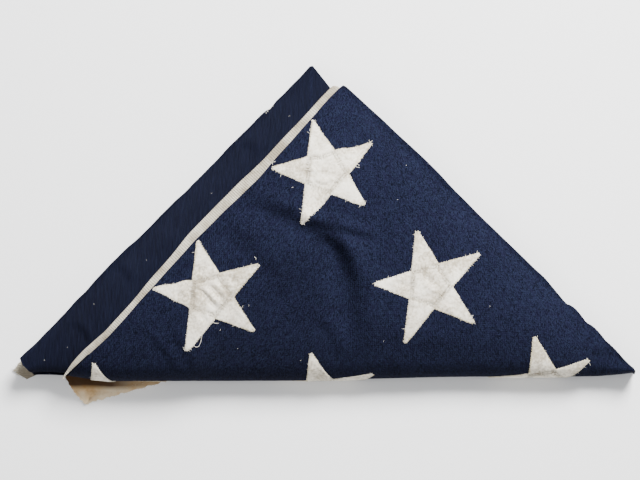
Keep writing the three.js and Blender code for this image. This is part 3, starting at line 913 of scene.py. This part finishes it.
def seams(x, y):
    """1 on a row of stitches, fading to 0 beside it: a bell curve of the distance to the nearest
    row, which is how far out along a point's own direction a place lies, less the row's."""
    found = 0 * x
    for point in range(5):
        turn = STAR_TURN + radians(72) * point
        out, aside = x * cos(turn) + y * sin(turn), y * cos(turn) - x * sin(turn)
        for row in SEAMS_OUT:
            groove = np.exp(-(((out - row) / SEAM_WIDTH) ** 2))
            found = np.maximum(found, groove * (np.abs(aside) < SEAM_HALF))
    return found


def star_top(k, x, y, depth):
    """How thick star k stands: low at its edge, full inside, with its puckers and seams."""
    rise = 1 - np.exp(-depth / 1.3)
    puckers = sum(crease_height(*pucker, x, y) for pucker in PUCKERS.get(k, [])) - SEAM_DEPTH * seams(x, y)
    uneven = PUCKER * puckers + 0.16 * soft_noise(x, y, 50 + k, 7)
    return STAR_LOW + (STAR_FULL - STAR_LOW) * rise + rise * uneven


def disc_faces(rings, columns):
    """The faces of a closed disc of rings: a fan at the middle of each skin, grids, and the rim."""
    k = 1 + np.arange(rings * columns).reshape(rings, columns)
    after = np.roll(k, -1, axis=1)
    fan = np.stack([np.zeros(columns, int), k[0], after[0], after[0]], -1)
    skin = np.stack([k[:-1], k[1:], after[1:], after[:-1]], -1).reshape(-1, 4)
    top = np.concatenate([fan, skin])
    under = 1 + rings * columns
    rim = np.stack([k[-1], k[-1] + under, after[-1] + under, after[-1]], -1)
    return np.concatenate([top, top[:, ::-1] + under, rim])


def flat_star(k):
    """Star k laid flat: its points as x, s and height, from its own centre, and its faces."""
    outline = around(star_corners(k), 1.1)
    rough = np.random.default_rng(80 + k).normal(0, 0.22, len(outline))
    outline = outline * (1 + rough / STAR_EDGE)[:, None]
    shares = (1 - RING_DEPTHS[::-1] / STAR_EDGE)[:, None, None]
    plan = np.concatenate([np.zeros((1, 2)), (shares * outline).reshape(-1, 2)])
    depth = np.concatenate([[STAR_EDGE], np.repeat(RING_DEPTHS[::-1], len(outline))])
    height = star_top(k, plan[:, 0], plan[:, 1], depth)
    top = np.column_stack([plan, STAR_FOOT + height])
    foot = np.column_stack([plan, np.full(len(plan), STAR_FOOT)])
    return np.concatenate([top, foot]), disc_faces(len(RING_DEPTHS), len(outline))


def seam_shade_and_dirt(flat, centre):
    """How dark each point of a star is: darker on its seams, dirt and painted groove shade, and a little
    round them.
    """
    x, y = (flat[:, :2] - centre).T
    return np.clip(0.75 * seams(x, y) + 0.12 * soft_noise(x, y, 7, 14), 0, 1)


def cut_below(points, faces, level):
    """The part of a closed shape above s = level, with the cut closed again."""
    shape = bmesh.new()
    corners = [shape.verts.new(point) for point in points]
    for face in faces.tolist():
        shape.faces.new([corners[k] for k in dict.fromkeys(face)])
    everything = shape.verts[:] + shape.edges[:] + shape.faces[:]
    bmesh.ops.bisect_plane(
        shape, geom=everything, plane_co=(0, level, 0), plane_no=(0, 1, 0), clear_inner=True
    )
    open_edges = [edge for edge in shape.edges if edge.is_boundary]
    bmesh.ops.holes_fill(shape, edges=open_edges)
    bmesh.ops.triangulate(shape, faces=shape.faces[:])
    shape.verts.index_update()
    points = np.array([vert.co for vert in shape.verts])
    faces = np.array([[vert.index for vert in face.verts] for face in shape.faces])
    shape.free()
    return points, np.column_stack([faces, faces[:, -1]])


top_tip = STAR_TURN + radians(72)
top_ray = np.array([cos(top_tip), sin(top_tip)])
WHOLE_STARS = 3


def star_centre(k):
    """The centre of star k on the cloth. A whole star is placed by its centre, and one that goes
    over the fold by its top point, from which its centre is measured along the cloth."""
    x, y = STAR_TOPS[k]
    down_x, down_y = tips_of(k)[1] * top_ray
    if k < WHOLE_STARS:
        return np.array([x - down_x, flat_of(x - down_x, y - down_y)])
    return np.array([x - down_x, flat_of(x, y) - down_y])


def flat_area(points, faces):
    """The area of a flat cut: half of what all its faces cover seen from above, because its two
    skins each cover it once. A face's part is the sum of its corners' cross products over two."""
    x, y = points[faces][..., 0], points[faces][..., 1]
    return np.abs((x * np.roll(y, -1, axis=1) - y * np.roll(x, -1, axis=1)).sum(axis=1)).sum() / 4


star_centres = [star_centre(k) for k in range(len(STAR_TOPS))]
stars, star_cuts, star_flats = [], [], []
for k, centre in enumerate(star_centres):
    points, faces = flat_star(k)
    points = points + [*centre, 0]
    near = np.abs(stations - centre[0]) < STAR_RADIUS
    cut = float(under_s[near].max()) + 0.5
    star_cuts.append(cut)
    if points[:, 1].min() < cut:
        points, faces = cut_below(points, faces, cut)
    width, length, _ = points.max(axis=0) - points.min(axis=0)
    star_flats.append((width, length, flat_area(points, faces)))
    star = make_piece(
        f"star_cloth_{k + 1}",
        onto_cloth(points),
        faces,
        uv=points[:, :2],
        tint=seam_shade_and_dirt(points, centre),
        replaces=[f"star_{k + 1}"],
    )
    star.data.materials.append(finishes["star"])
    stars.append(star)
    print(star.name, "cut", round(width), "by", round(length), "mm,", round(star_flats[-1][2]), "square mm")

# %% [markdown]
# ## Stitches
#
# A star is held by a close zigzag round its edge and by a line of running stitches across each point.
# Each stitch is a short bent thread with a few flat sides. Thousands of them would be heavy as
# separate objects, so they are worked out as one array and joined in one mesh.

# %% Threads as arrays
def strands(paths, radius, sides=4):
    """Closed thin tubes along many paths of the same number of points, as one mesh. Each ring is
    a small circle square to its path, and the ends are drawn in."""
    count, length, _ = paths.shape
    ahead = np.gradient(paths, axis=1)
    ahead /= np.maximum(np.linalg.norm(ahead, axis=-1, keepdims=True), 1e-9)
    side = np.cross(ahead, [0.31, 0.2, 0.93])
    side /= np.maximum(np.linalg.norm(side, axis=-1, keepdims=True), 1e-9)
    up = np.cross(side, ahead)
    angle = 2 * pi * np.arange(sides) / sides
    taper = np.full(length, 1.0)
    taper[[0, -1]] = 0.45
    size = (np.reshape(radius, (-1, 1, 1, 1)) * taper[None, :, None, None]) * np.ones((count, 1, 1, 1))
    ring = np.cos(angle)[:, None] * side[:, :, None] + np.sin(angle)[:, None] * up[:, :, None]
    points = (paths[:, :, None] + size * ring).reshape(-1, 3)
    k = np.arange(count * length * sides).reshape(count, length, sides)
    after = np.roll(k, -1, axis=2)
    wall = np.stack([k[:, :-1], after[:, :-1], after[:, 1:], k[:, 1:]], -1).reshape(-1, 4)
    caps = np.concatenate([k[:, 0, :4][:, ::-1], k[:, -1, :4]])
    return points, np.concatenate([wall, caps])


STITCH_STEP, STITCH_OUT, STITCH_IN, STITCH_SLANT = 1.05, 0.45, 1.25, 0.5
THREAD = 0.2  # a thread's radius


def edge_stitches(k, rng):
    """The zigzag round star k, in cloth coordinates: each stitch crosses the edge on a slant."""
    foot = around(star_corners(k), STITCH_STEP)
    ahead = np.roll(foot, -1, axis=0) - np.roll(foot, 1, axis=0)
    ahead /= np.linalg.norm(ahead, axis=1)[:, None]
    inward = np.stack([-ahead[:, 1], ahead[:, 0]], -1)
    zig = np.where(np.arange(len(foot)) % 2, 1, -1)[:, None] * STITCH_SLANT
    t = np.array([0, 0.25, 0.7, 1.0])[None, :, None]
    depth = -STITCH_OUT + (STITCH_OUT + STITCH_IN + rng.normal(0, 0.15, (len(foot), 1, 1))) * t
    plan = foot[:, None] + inward[:, None] * depth + (ahead * zig)[:, None] * (2 * t - 1)
    rise = np.array([0.02, 0.45, STAR_LOW + 0.52, STAR_LOW + 0.45])
    out = np.broadcast_to(THIN / 2 + rise, plan.shape[:2])
    paths = np.concatenate([plan, out[..., None]], -1)
    return paths[rng.random(len(foot)) > 0.07]


def running_stitches(k, rng):
    """Running stitches in two rows across the root of each point: short bent threads, evenly
    spaced along each row, that go into the cloth at both ends."""
    aside = np.arange(-SEAM_HALF, SEAM_HALF, 1.9)[:, None]
    steps = np.array([-0.6, -0.2, 0.2, 0.6])[None, :]
    paths = []
    for point in range(5):
        turn = STAR_TURN + radians(72) * point
        for row in SEAMS_OUT:
            reach = row - SEAMS_OUT[0] + SEAM_HALF
            along = aside[np.abs(aside[:, 0]) < reach] + steps
            out = row + rng.normal(0, 0.12, along.shape)
            plan = np.stack([out * cos(turn) - along * sin(turn), out * sin(turn) + along * cos(turn)], -1)
            top = star_top(k, plan[..., 0], plan[..., 1], STAR_EDGE)
            height = STAR_FOOT + top + np.array([-0.12, 0.1, 0.1, -0.12])
            paths.append(np.concatenate([plan, height[..., None]], -1))
    return np.concatenate(paths)


# %% The stitching
rng = np.random.default_rng(12)
stitch_paths, stitch_tints = [], []
for k, centre in enumerate(star_centres):
    for maker, yellow in ((edge_stitches, 0.4), (running_stitches, 0.55)):
        paths = maker(k, rng) + [*centre, 0]
        paths = paths[paths[..., 1].min(axis=1) > star_cuts[k]]
        turn = np.arctan2(*(paths[:, 0, :2] - centre).T[::-1])
        stitch_paths.append(paths)
        stitch_tints.append(np.clip(yellow + 0.25 * np.sin(turn + k) + rng.normal(0, 0.1, len(paths)), 0, 1))
stitch_paths = np.concatenate(stitch_paths)
stitch_tints = np.concatenate(stitch_tints)
points, faces = strands(onto_cloth(stitch_paths), THREAD * 0.8)
stitching = make_piece(
    "star_stitching", points, faces, tint=np.repeat(stitch_tints, stitch_paths.shape[1] * 4)
)
stitching.data.materials.append(finishes["thread"])
print(len(stitch_paths), "stitches")

# %% [markdown]
# ## Fray, loose threads and lint
#
# Wear is what makes this cloth old. Cut edges that no stitch holds have let their yarns go, so short
# hairs stand out from the stars' edges, thickest near their points. A few longer threads have come
# loose and lie in loops, and bits of white lint cling to the blue. Hairs are worked out as arrays of
# slightly bent lines. The long threads are routes given one by one, because each has its own course.

# %% Hairs and threads
HAIR_STEPS = 7
HAIRS = [70, 60, 80, 20, 36, 50]  # how many hairs each star has
# The long threads, each as its route seen from above.
LOOSE = [
    [[-103.2, -82], [-103.9, -87], [-104.9, -92], [-107.2, -95], [-109.7, -94.4], [-111, -92.6]],
    [[-112.5, -93.5], [-113.6, -95.6], [-112.6, -97.2]],
    [[-95.4, -71.6], [-94.8, -73.6], [-92.6, -74.8], [-89.4, -74.4]],
    [[-43.8, 59.4], [-44.2, 61.6], [-42.8, 62.8], [-41.4, 62.2]],
    [[25.5, 60], [27.6, 59.6], [29.6, 58.4]],
    [[26.5, 57.8], [28.4, 56.8], [29.8, 57.2]],
    [[-59, -18.5], [-57.6, -19.6], [-57.8, -21.2]],
    [[-143.5, -45], [-145, -45.8], [-145, -47]],
    [[222.5, -106], [225.2, -108.4], [226, -110.4]],
    [[212, -112.4], [216, -114], [218.8, -113]],
    [[76, -69], [74, -71], [74.6, -72.8]],
    [[120, -66.4], [123.6, -68.6], [126, -68]],
]
FLAP_LINT = [[-238, -106], [-218, -94.8], [-196, -58], [-151, -21], [-96, 36], [-30, 102]]
PANEL_LINT = [
    [-27, 40], [-64, -60], [62, 30], [140, -60], [-20, -106], [-88, -80], [-74, -96], [70, 60], [50, -90],
]
NOTCH_FUZZ = [[-50, 105], [-48.4, 106.8], [-47, 108.4], [-45.6, 109.6], [-44.4, 110.8]]


def hairs(foot, direction, length, bend):
    """Bent lines from each foot: along the direction by length, and aside by bend, which grows
    with the square of the way."""
    t = np.linspace(0, 1, HAIR_STEPS)[None, :, None]
    aside = np.stack([-direction[:, 1], direction[:, 0]], -1)
    straight = direction[:, None] * length[:, None, None] * t
    return foot[:, None] + straight + aside[:, None] * bend[:, None, None] * t**2


def star_hairs(k, rng):
    """The hairs at the edge of star k. A place is likelier the further out it is, so that the
    points fray most."""
    outline = around(star_corners(k), 0.5)
    out = np.linalg.norm(outline, axis=1)
    places = rng.choice(len(outline), HAIRS[k], p=out**3 / (out**3).sum())
    ahead = (np.roll(outline, -1, axis=0) - np.roll(outline, 1, axis=0))[places]
    ahead /= np.linalg.norm(ahead, axis=1)[:, None]
    slant = rng.normal(0, 0.7, len(places))[:, None]
    direction = np.stack([ahead[:, 1], -ahead[:, 0]], -1) + ahead * slant
    direction /= np.linalg.norm(direction, axis=1)[:, None]
    length = rng.gamma(3, 0.42, len(places))
    plan = hairs(outline[places] - 0.4 * direction, direction, length, rng.normal(0, 0.4, len(places)))
    rise = THIN / 2 + 0.2 + np.linspace(0.25, 0, HAIR_STEPS) + 0 * plan[..., 0]
    return np.concatenate([plan, rise[..., None]], -1)


def laid_thread(route):
    """A long thread on the blue cloth: its route in cloth coordinates, evened out and rounded."""
    flat = np.array([[x, flat_of(x, y)] for x, y in route])
    at = np.linspace(0, len(flat) - 1, 3 * HAIR_STEPS)
    line = np.stack([np.interp(at, range(len(flat)), column) for column in flat.T], 1)
    padded = np.pad(line, ((3, 3), (0, 0)), mode="reflect", reflect_type="odd")
    soft = sum(padded[i : i + len(line)] for i in range(7)) / 7
    rise = THIN / 2 + 0.3 + 0.5 * np.sin(pi * at / at[-1])
    return np.column_stack([soft, rise])


def lint(places, height, rng):
    """A small curl of fibres at each place, lying on the cloth whose height is given."""
    foot = np.repeat(np.array(places, float), 2, axis=0) + rng.normal(0, 0.15, (2 * len(places), 2))
    turn = rng.uniform(0, 2 * pi, len(foot))
    length, bend = rng.uniform(0.25, 0.8, len(foot)), rng.normal(0, 0.3, len(foot))
    plan = hairs(foot, np.stack([np.cos(turn), np.sin(turn)], -1), length, bend)
    return np.concatenate([plan, (height(plan[..., 0], plan[..., 1]) + 0.25)[..., None]], -1)


# %% Loose threads and lint on the cloth
rng = np.random.default_rng(33)
fray_paths = []
for k, centre in enumerate(star_centres):
    paths = star_hairs(k, rng) + [*centre, 0]
    fray_paths.append(paths[paths[..., 1].min(axis=1) > star_cuts[k]])
fray = onto_cloth(np.concatenate(fray_paths))
fray_points, fray_faces = strands(fray, 0.11)
long_points, long_faces = strands(onto_cloth(np.stack([laid_thread(route) for route in LOOSE])), 0.16, 5)
specks = np.concatenate([
    lint(PANEL_LINT, lambda x, y: layer_height(FRONT, x, y) + THIN / 2, rng),
    lint(FLAP_LINT + 3 * NOTCH_FUZZ, lambda x, y: layer_height(FLAP, x, y) + THIN / 2, rng),
])
speck_points, speck_faces = strands(specks, 0.09)
groups = [(fray_points, fray_faces, 0.1), (long_points, long_faces, 0.05), (speck_points, speck_faces, 0.0)]
starts = np.cumsum([0] + [len(points) for points, _, _ in groups])
threads = make_piece(
    "loose_threads",
    np.concatenate([points for points, _, _ in groups]),
    np.concatenate([faces + start for (_, faces, _), start in zip(groups, starts)]),
    tint=np.concatenate([np.full(len(points), tint) for points, _, tint in groups]),
)
threads.data.materials.append(finishes["thread"])
print(len(fray), "frayed hairs,", len(LOOSE), "long threads,", len(specks), "lint fibres")

# %% [markdown]
# ## The white strip
#
# A white stripe runs on from the star field and is folded in half along its length. It lies on the
# rear flap with its round fold towards the upper left, and the front panel covers the rest. It is a
# section of two plies and a fold, carried along the panel's edge.

# %% The strip's section
BAND_WIDTH = [
    [-221, 1.6], [-214, 4.4], [-204, 6.4], [-180, 5.2], [-160, 5.2], [-120, 7], [-85, 9.2], [-58, 9],
    [-30, 6.8], [8, 5.6],
]
STRIPE_FROM, STRIPE_TO = 13, -222
PLAIN_CLOTH, PLY_GAP, STRIPE_SLACK, STRIPE_STOP, FLAP_DROP = 1.0, 0.5, 1.1, 8, 0.85
STRIPE_THIN, STRIPE_ROLL = 0.7, 0.9  # as shown: the cloth, and the radius of its fold


def flap_top(x, y):
    """The top of the flap's cloth, rounding down at the bottom fold like a quarter ellipse."""
    fold = fold_at(x)
    drop = np.clip((fold.y - y) / (fold.depth - PITCH), 0, FLAP_DROP)
    rise = layer_height(FLAP, x, fold.y) - fold.z
    on_fold_top = fold.z + rise * np.sqrt(1 - drop**2)
    return np.where(y > fold.y, layer_height(FLAP, x, y), on_fold_top) + CLOTH / 2


def folded_plies(width, roll, thin, count):
    """A two-ply section, open at its far end: the upper ply, the round fold, the lower ply. Given
    as how far across and how high each point is, for each width."""
    centre = roll + thin / 2
    t = np.linspace(1, 0, count)[:, None] ** 1.7
    ply = centre + (width - centre) * t
    bend = np.radians([60, 30, 0, -30, -60])[:, None]
    round_part = (centre - roll * np.cos(bend) + 0 * width, roll * np.sin(bend) + 0 * width)
    across = np.concatenate([ply, round_part[0], ply[::-1]])
    up = np.concatenate([ply * 0 + roll, round_part[1], ply * 0 - roll])
    return across, up


def strip_grid():
    """The strip's middle and normals: its section laid inwards from the panel's edge, resting on
    the flap. The part that shows swells a little, and its top end is rounded off."""
    x = np.linspace(STRIPE_FROM, STRIPE_TO, 150)
    edge = soft_line(FRONT_EDGE, x)
    band = soft_line(BAND_WIDTH, x, 5) + 0.25 * waver(x, 61, 30)
    hidden = (edge - fold_at(x).y - STRIPE_STOP) / -STRIPE_SIDE.inward[1]
    width = np.where(hidden > 0, np.minimum(STRIPE_HALF, band + hidden), band - 1)
    across, up = folded_plies(width, STRIPE_ROLL, STRIPE_THIN, 16)
    swell = 0.55 * np.sin(pi * np.clip(across / np.maximum(band, 1), 0, 1)) * (up > 0)
    side_across, side_up = sideways(across, up)
    to_end = np.clip(3 - (STRIPE_FROM - x), 0, 3)
    inside = across - band + (3 - np.sqrt(9 - to_end**2)) * (across < band)
    px, py = x + STRIPE_SIDE.inward[0] * inside, edge + STRIPE_SIDE.inward[1] * inside
    rest = GAP + STRIPE_SLACK + PLAIN_CLOTH + PLY_GAP / 2
    pz = flap_top(px, py) + rest + up + swell
    normal = np.stack([STRIPE_SIDE.inward[0] * side_across, STRIPE_SIDE.inward[1] * side_across, side_up], -1)
    along = np.broadcast_to(x / -STRIPE_SIDE.inward[1], across.shape)
    return np.stack([px, py, pz], -1), normal, np.stack([along, across * np.sign(up + 1e-6)], -1)


# %% The strip
middle, normal, grain = strip_grid()
strip = make_piece(
    "strip_cloth",
    two_skins(middle, normal, STRIPE_THIN),
    grid_faces(*middle.shape[:2]),
    uv=np.tile(grain.reshape(-1, 2), (2, 1)),
    replaces=["white_stripe"],
)
strip.data.materials.append(finishes["white"])

# %% [markdown]
# ## The two loose corners
#
# At the far left the end of a stripe shows, greyed and frayed. Below the bottom fold a yellowed
# corner of the flag lies on the table: it is folded over too, and its upper ply has lifted, so that
# one sees between the plies. The first is a patch ruled between a curved end and a hidden line. The
# second is the strip's kind of section again, with a lift added to its upper ply.

# %% The stripe's end
END_OUTSIDE = [[-255.5, -122.2], [-266.3, -114.6], [-258.5, -104.8]]
END_HIDDEN = [[-233, -112], [-237, -98]]
END_THIN, END_BLEND = 0.8, 4  # the higher the blend, the sharper the corner
END_GREY = (262.5, 268)  # the end goes grey over this stretch, counted to the left


def end_grid():
    """Straight lines from a rounded outer end to a hidden inner one, with a soft lift between."""
    v = np.linspace(0, 1, 40)[:, None]
    u = np.linspace(0, 1, 30)[None, :]
    first, middle_point, last = (np.array(point) for point in END_OUTSIDE)
    from_first, from_last = (1 - v) ** END_BLEND, v**END_BLEND
    outside = first * from_first + last * from_last + middle_point * (1 - from_first - from_last)
    outside = outside + np.column_stack([0.5 * waver(v[:, 0] * 20, 71, 6), 0 * v[:, 0]])
    hidden = np.array(END_HIDDEN[0]) * (1 - v) + np.array(END_HIDDEN[1]) * v
    plan = outside[:, None] * (1 - u[..., None]) + hidden[:, None] * u[..., None]
    lift = 0.5 * np.sin(pi * v) * np.exp(-u * 3) + 0.25 * (1 + soft_noise(plan[..., 0], plan[..., 1], 72, 6))
    return np.concatenate([plan, (END_THIN / 2 + 0.05 + lift)[..., None]], -1)


middle = end_grid()
upright = np.zeros_like(middle) + [0, 0, 1]
stripe_end = make_piece(
    "stripe_end_cloth",
    two_skins(middle, upright, END_THIN),
    grid_faces(*middle.shape[:2]),
    uv=np.tile(middle[..., [1, 0]].reshape(-1, 2), (2, 1)),
    tint=0.8 * ease(-np.tile(middle[..., 0].ravel(), 2), *END_GREY),
    replaces=["white_stripe_end"],
)
stripe_end.data.materials.append(finishes["white"])
end_edge = middle[:, 0]

# %% The cream corner
CREAM_TIP = np.array([-205.3, -143.2])
CREAM_FOLD = np.array([0.518, -0.856])
CREAM_ACROSS = np.array([0.856, 0.518])
CREAM_WIDTH, CREAM_LENGTH, CREAM_SKEW, CREAM_INSET, CREAM_ROUND = 40, 75, 0.28, 4.2, 8
CREAM_BULGE = 3.0
CREAM_THIN, CREAM_ROLL = 0.8, 0.85


def cream_grid():
    """A folded corner: its section runs away from the folded side, and is repeated up the width.
    The upper ply stops short of the lower one and lifts towards its own edge."""
    t = np.linspace(1, 0, 60)
    across, up = folded_plies(np.full(60, CREAM_LENGTH), CREAM_ROLL, CREAM_THIN, 40)
    side_across, side_up = sideways(across, up)
    upper = ease(up, -CREAM_ROLL, CREAM_ROLL)
    inset = upper * CREAM_INSET * ease(across, 0, CREAM_ROUND)
    ragged = (0.6 * waver(across, 75, 9) + 0.35 * waver(across, 76, 3)) * (1 - t) ** 6
    down = CREAM_SKEW * across - inset - CREAM_WIDTH * t + ragged
    near_edge = np.exp(-t * CREAM_WIDTH / 7)
    humps = 4.6 * np.exp(-(((across - 12) / 7) ** 2)) + 1.6 * np.exp(-(((across - 40) / 14) ** 2))
    lift = upper * near_edge * humps
    roll = upper * 1.3 * np.exp(-(((t * CREAM_WIDTH - 14) / 5) ** 2)) * ease(across, 0, 14)
    bulge = (CREAM_BULGE * np.sin(pi * t) + 0.4 * waver(t * CREAM_WIDTH, 77, 5)) * np.exp(-across / 12)
    plan = CREAM_TIP + CREAM_ACROSS * (across - bulge)[..., None] + CREAM_FOLD * down[..., None]
    z = CREAM_ROLL + CREAM_THIN / 2 + 0.05 + up + lift + roll
    normal = np.stack([CREAM_ACROSS[0] * side_across, CREAM_ACROSS[1] * side_across, side_up], -1)
    return np.concatenate([plan, z[..., None]], -1), normal, np.stack([across * np.sign(up + 1e-6), down], -1)


middle, normal, grain = cream_grid()
cream = make_piece(
    "cream_cloth",
    two_skins(middle, normal, CREAM_THIN),
    grid_faces(*middle.shape[:2]),
    uv=np.tile(grain.reshape(-1, 2), (2, 1)),
    replaces=["cream_corner"],
)
cream.data.materials.append(finishes["cream"])
cream_edges = [middle[:40, -1], middle[-40:, -1], middle[42]]

# %% Frayed ends
def edge_hairs(edge, outward, count, reach, rng):
    """Hairs from random places on an edge, each out by about reach and turned a little."""
    foot = edge[rng.integers(0, len(edge), count)]
    turn = np.arctan2(outward[1], outward[0]) + rng.normal(0, 0.5, count)
    direction = np.stack([np.cos(turn), np.sin(turn)], -1)
    lengths = rng.gamma(3, reach / 3, count)
    plan = hairs(foot[:, :2] - 0.3 * direction, direction, lengths, rng.normal(0, 0.3, count))
    height = np.maximum(foot[:, 2:] + rng.normal(0, 0.15, (count, 1)) + 0 * plan[..., 0], 0.25)
    return np.concatenate([plan, height[..., None]], -1)


def fringe(name, paths, tint):
    """One piece of many hairs, in one shade of thread."""
    points, faces = strands(paths, 0.13)
    piece = make_piece(name, points, faces, tint=np.full(len(points), tint))
    piece.data.materials.append(finishes["thread"])
    return piece


rng = np.random.default_rng(57)
sides = zip(cream_edges, [(0.27, -0.96), (0.27, -0.96), (-0.86, -0.52)], (60, 110, 50))
cream_fringe = fringe("cream_fringe", np.concatenate([edge_hairs(*side, 0.7, rng) for side in sides]), 0.5)
short_hairs = edge_hairs(end_edge, (-0.8, -0.6), 60, 0.9, rng)
long_hairs = edge_hairs(end_edge[10:30], (-1, 0), 40, 1.4, rng)
end_paths = np.concatenate([short_hairs, long_hairs])
end_fringe = fringe("end_fringe", end_paths, 0.85)

# %% [markdown]
# ## Floor, light and camera
#
# The flag is seen from nearly straight above, with its long fold towards the viewer. The floor is
# plain and pale. A wide soft light stands at the upper right, so that slopes which face the viewer
# fall into shade, and a weaker one fills in from the front.

# %% Stage
floor_mesh = bpy.data.meshes.new("floor")
floor_mesh.from_pydata([(-3, -3, 0), (3, -3, 0), (3, 3, 0), (-3, 3, 0)], [], [(0, 1, 2, 3)])
floor = bpy.data.objects.new("floor", floor_mesh)
bpy.context.scene.collection.objects.link(floor)
pale = Finish("pale_floor")
floor_sockets = {"Base Color": (0.9, 0.9, 0.9, 1), "Roughness": 0.9}
floor_shader = pale.node("ShaderNodeBsdfPrincipled", None, floor_sockets)
pale.node("ShaderNodeOutputMaterial", None, {"Surface": floor_shader})
floor_mesh.materials.append(pale.material)

world = bpy.data.worlds.new("studio")
world.use_nodes = True
world.node_tree.nodes["Background"].inputs["Color"].default_value = (0.95, 0.97, 1.0, 1)
world.node_tree.nodes["Background"].inputs["Strength"].default_value = 0.5
bpy.context.scene.world = world


def add_light(name, place, target, size, power):
    """A square soft light at a place, facing a target."""
    data = bpy.data.lights.new(name, "AREA")
    data.size, data.energy = size, power
    light = bpy.data.objects.new(name, data)
    light.location = place
    light.rotation_euler = (Vector(target) - Vector(place)).to_track_quat("-Z", "Y").to_euler()
    bpy.context.scene.collection.objects.link(light)
    return light


add_light("key", (0.7, 1.3, 1.4), (0, 0, 0), 0.8, 175)
add_light("fill", (-0.9, -0.4, 1.8), (0, 0, 0), 1.2, 14)

# %% Camera
LENS, SENSOR, SEEN_WIDTH = 200, 36, 0.544
ELEVATION = radians(88)
target = Vector((-0.0038, -0.0038, 0.03))
distance = SEEN_WIDTH * LENS / SENSOR
away = Vector((0, -cos(ELEVATION), sin(ELEVATION)))
camera_data = bpy.data.cameras.new("camera")
camera_data.lens, camera_data.sensor_width = LENS, SENSOR
camera = bpy.data.objects.new("camera", camera_data)
camera.location = target + away * distance
camera.rotation_euler = (-away).to_track_quat("-Z", "Y").to_euler()
bpy.context.scene.collection.objects.link(camera)
bpy.context.scene.camera = camera
print("camera", round(distance, 3), "m away")

# %% [markdown]
# ## What each star was cut to
#
# Cloth hardly stretches, so a star's flat size is what it was cut to. The star field is the blue
# part of a flag of 1.52 by 2.90 metres, and the strip is one stripe of it. Each star's width, length
# and area are worked out in metres from its flat outline, from before it was laid, because an area
# taken from the laid star would agree with itself however far it had stretched.

# %% Sheets
for star, (width, length, area) in zip(stars, star_flats):
    width * MM
    length * MM
    area * MM**2
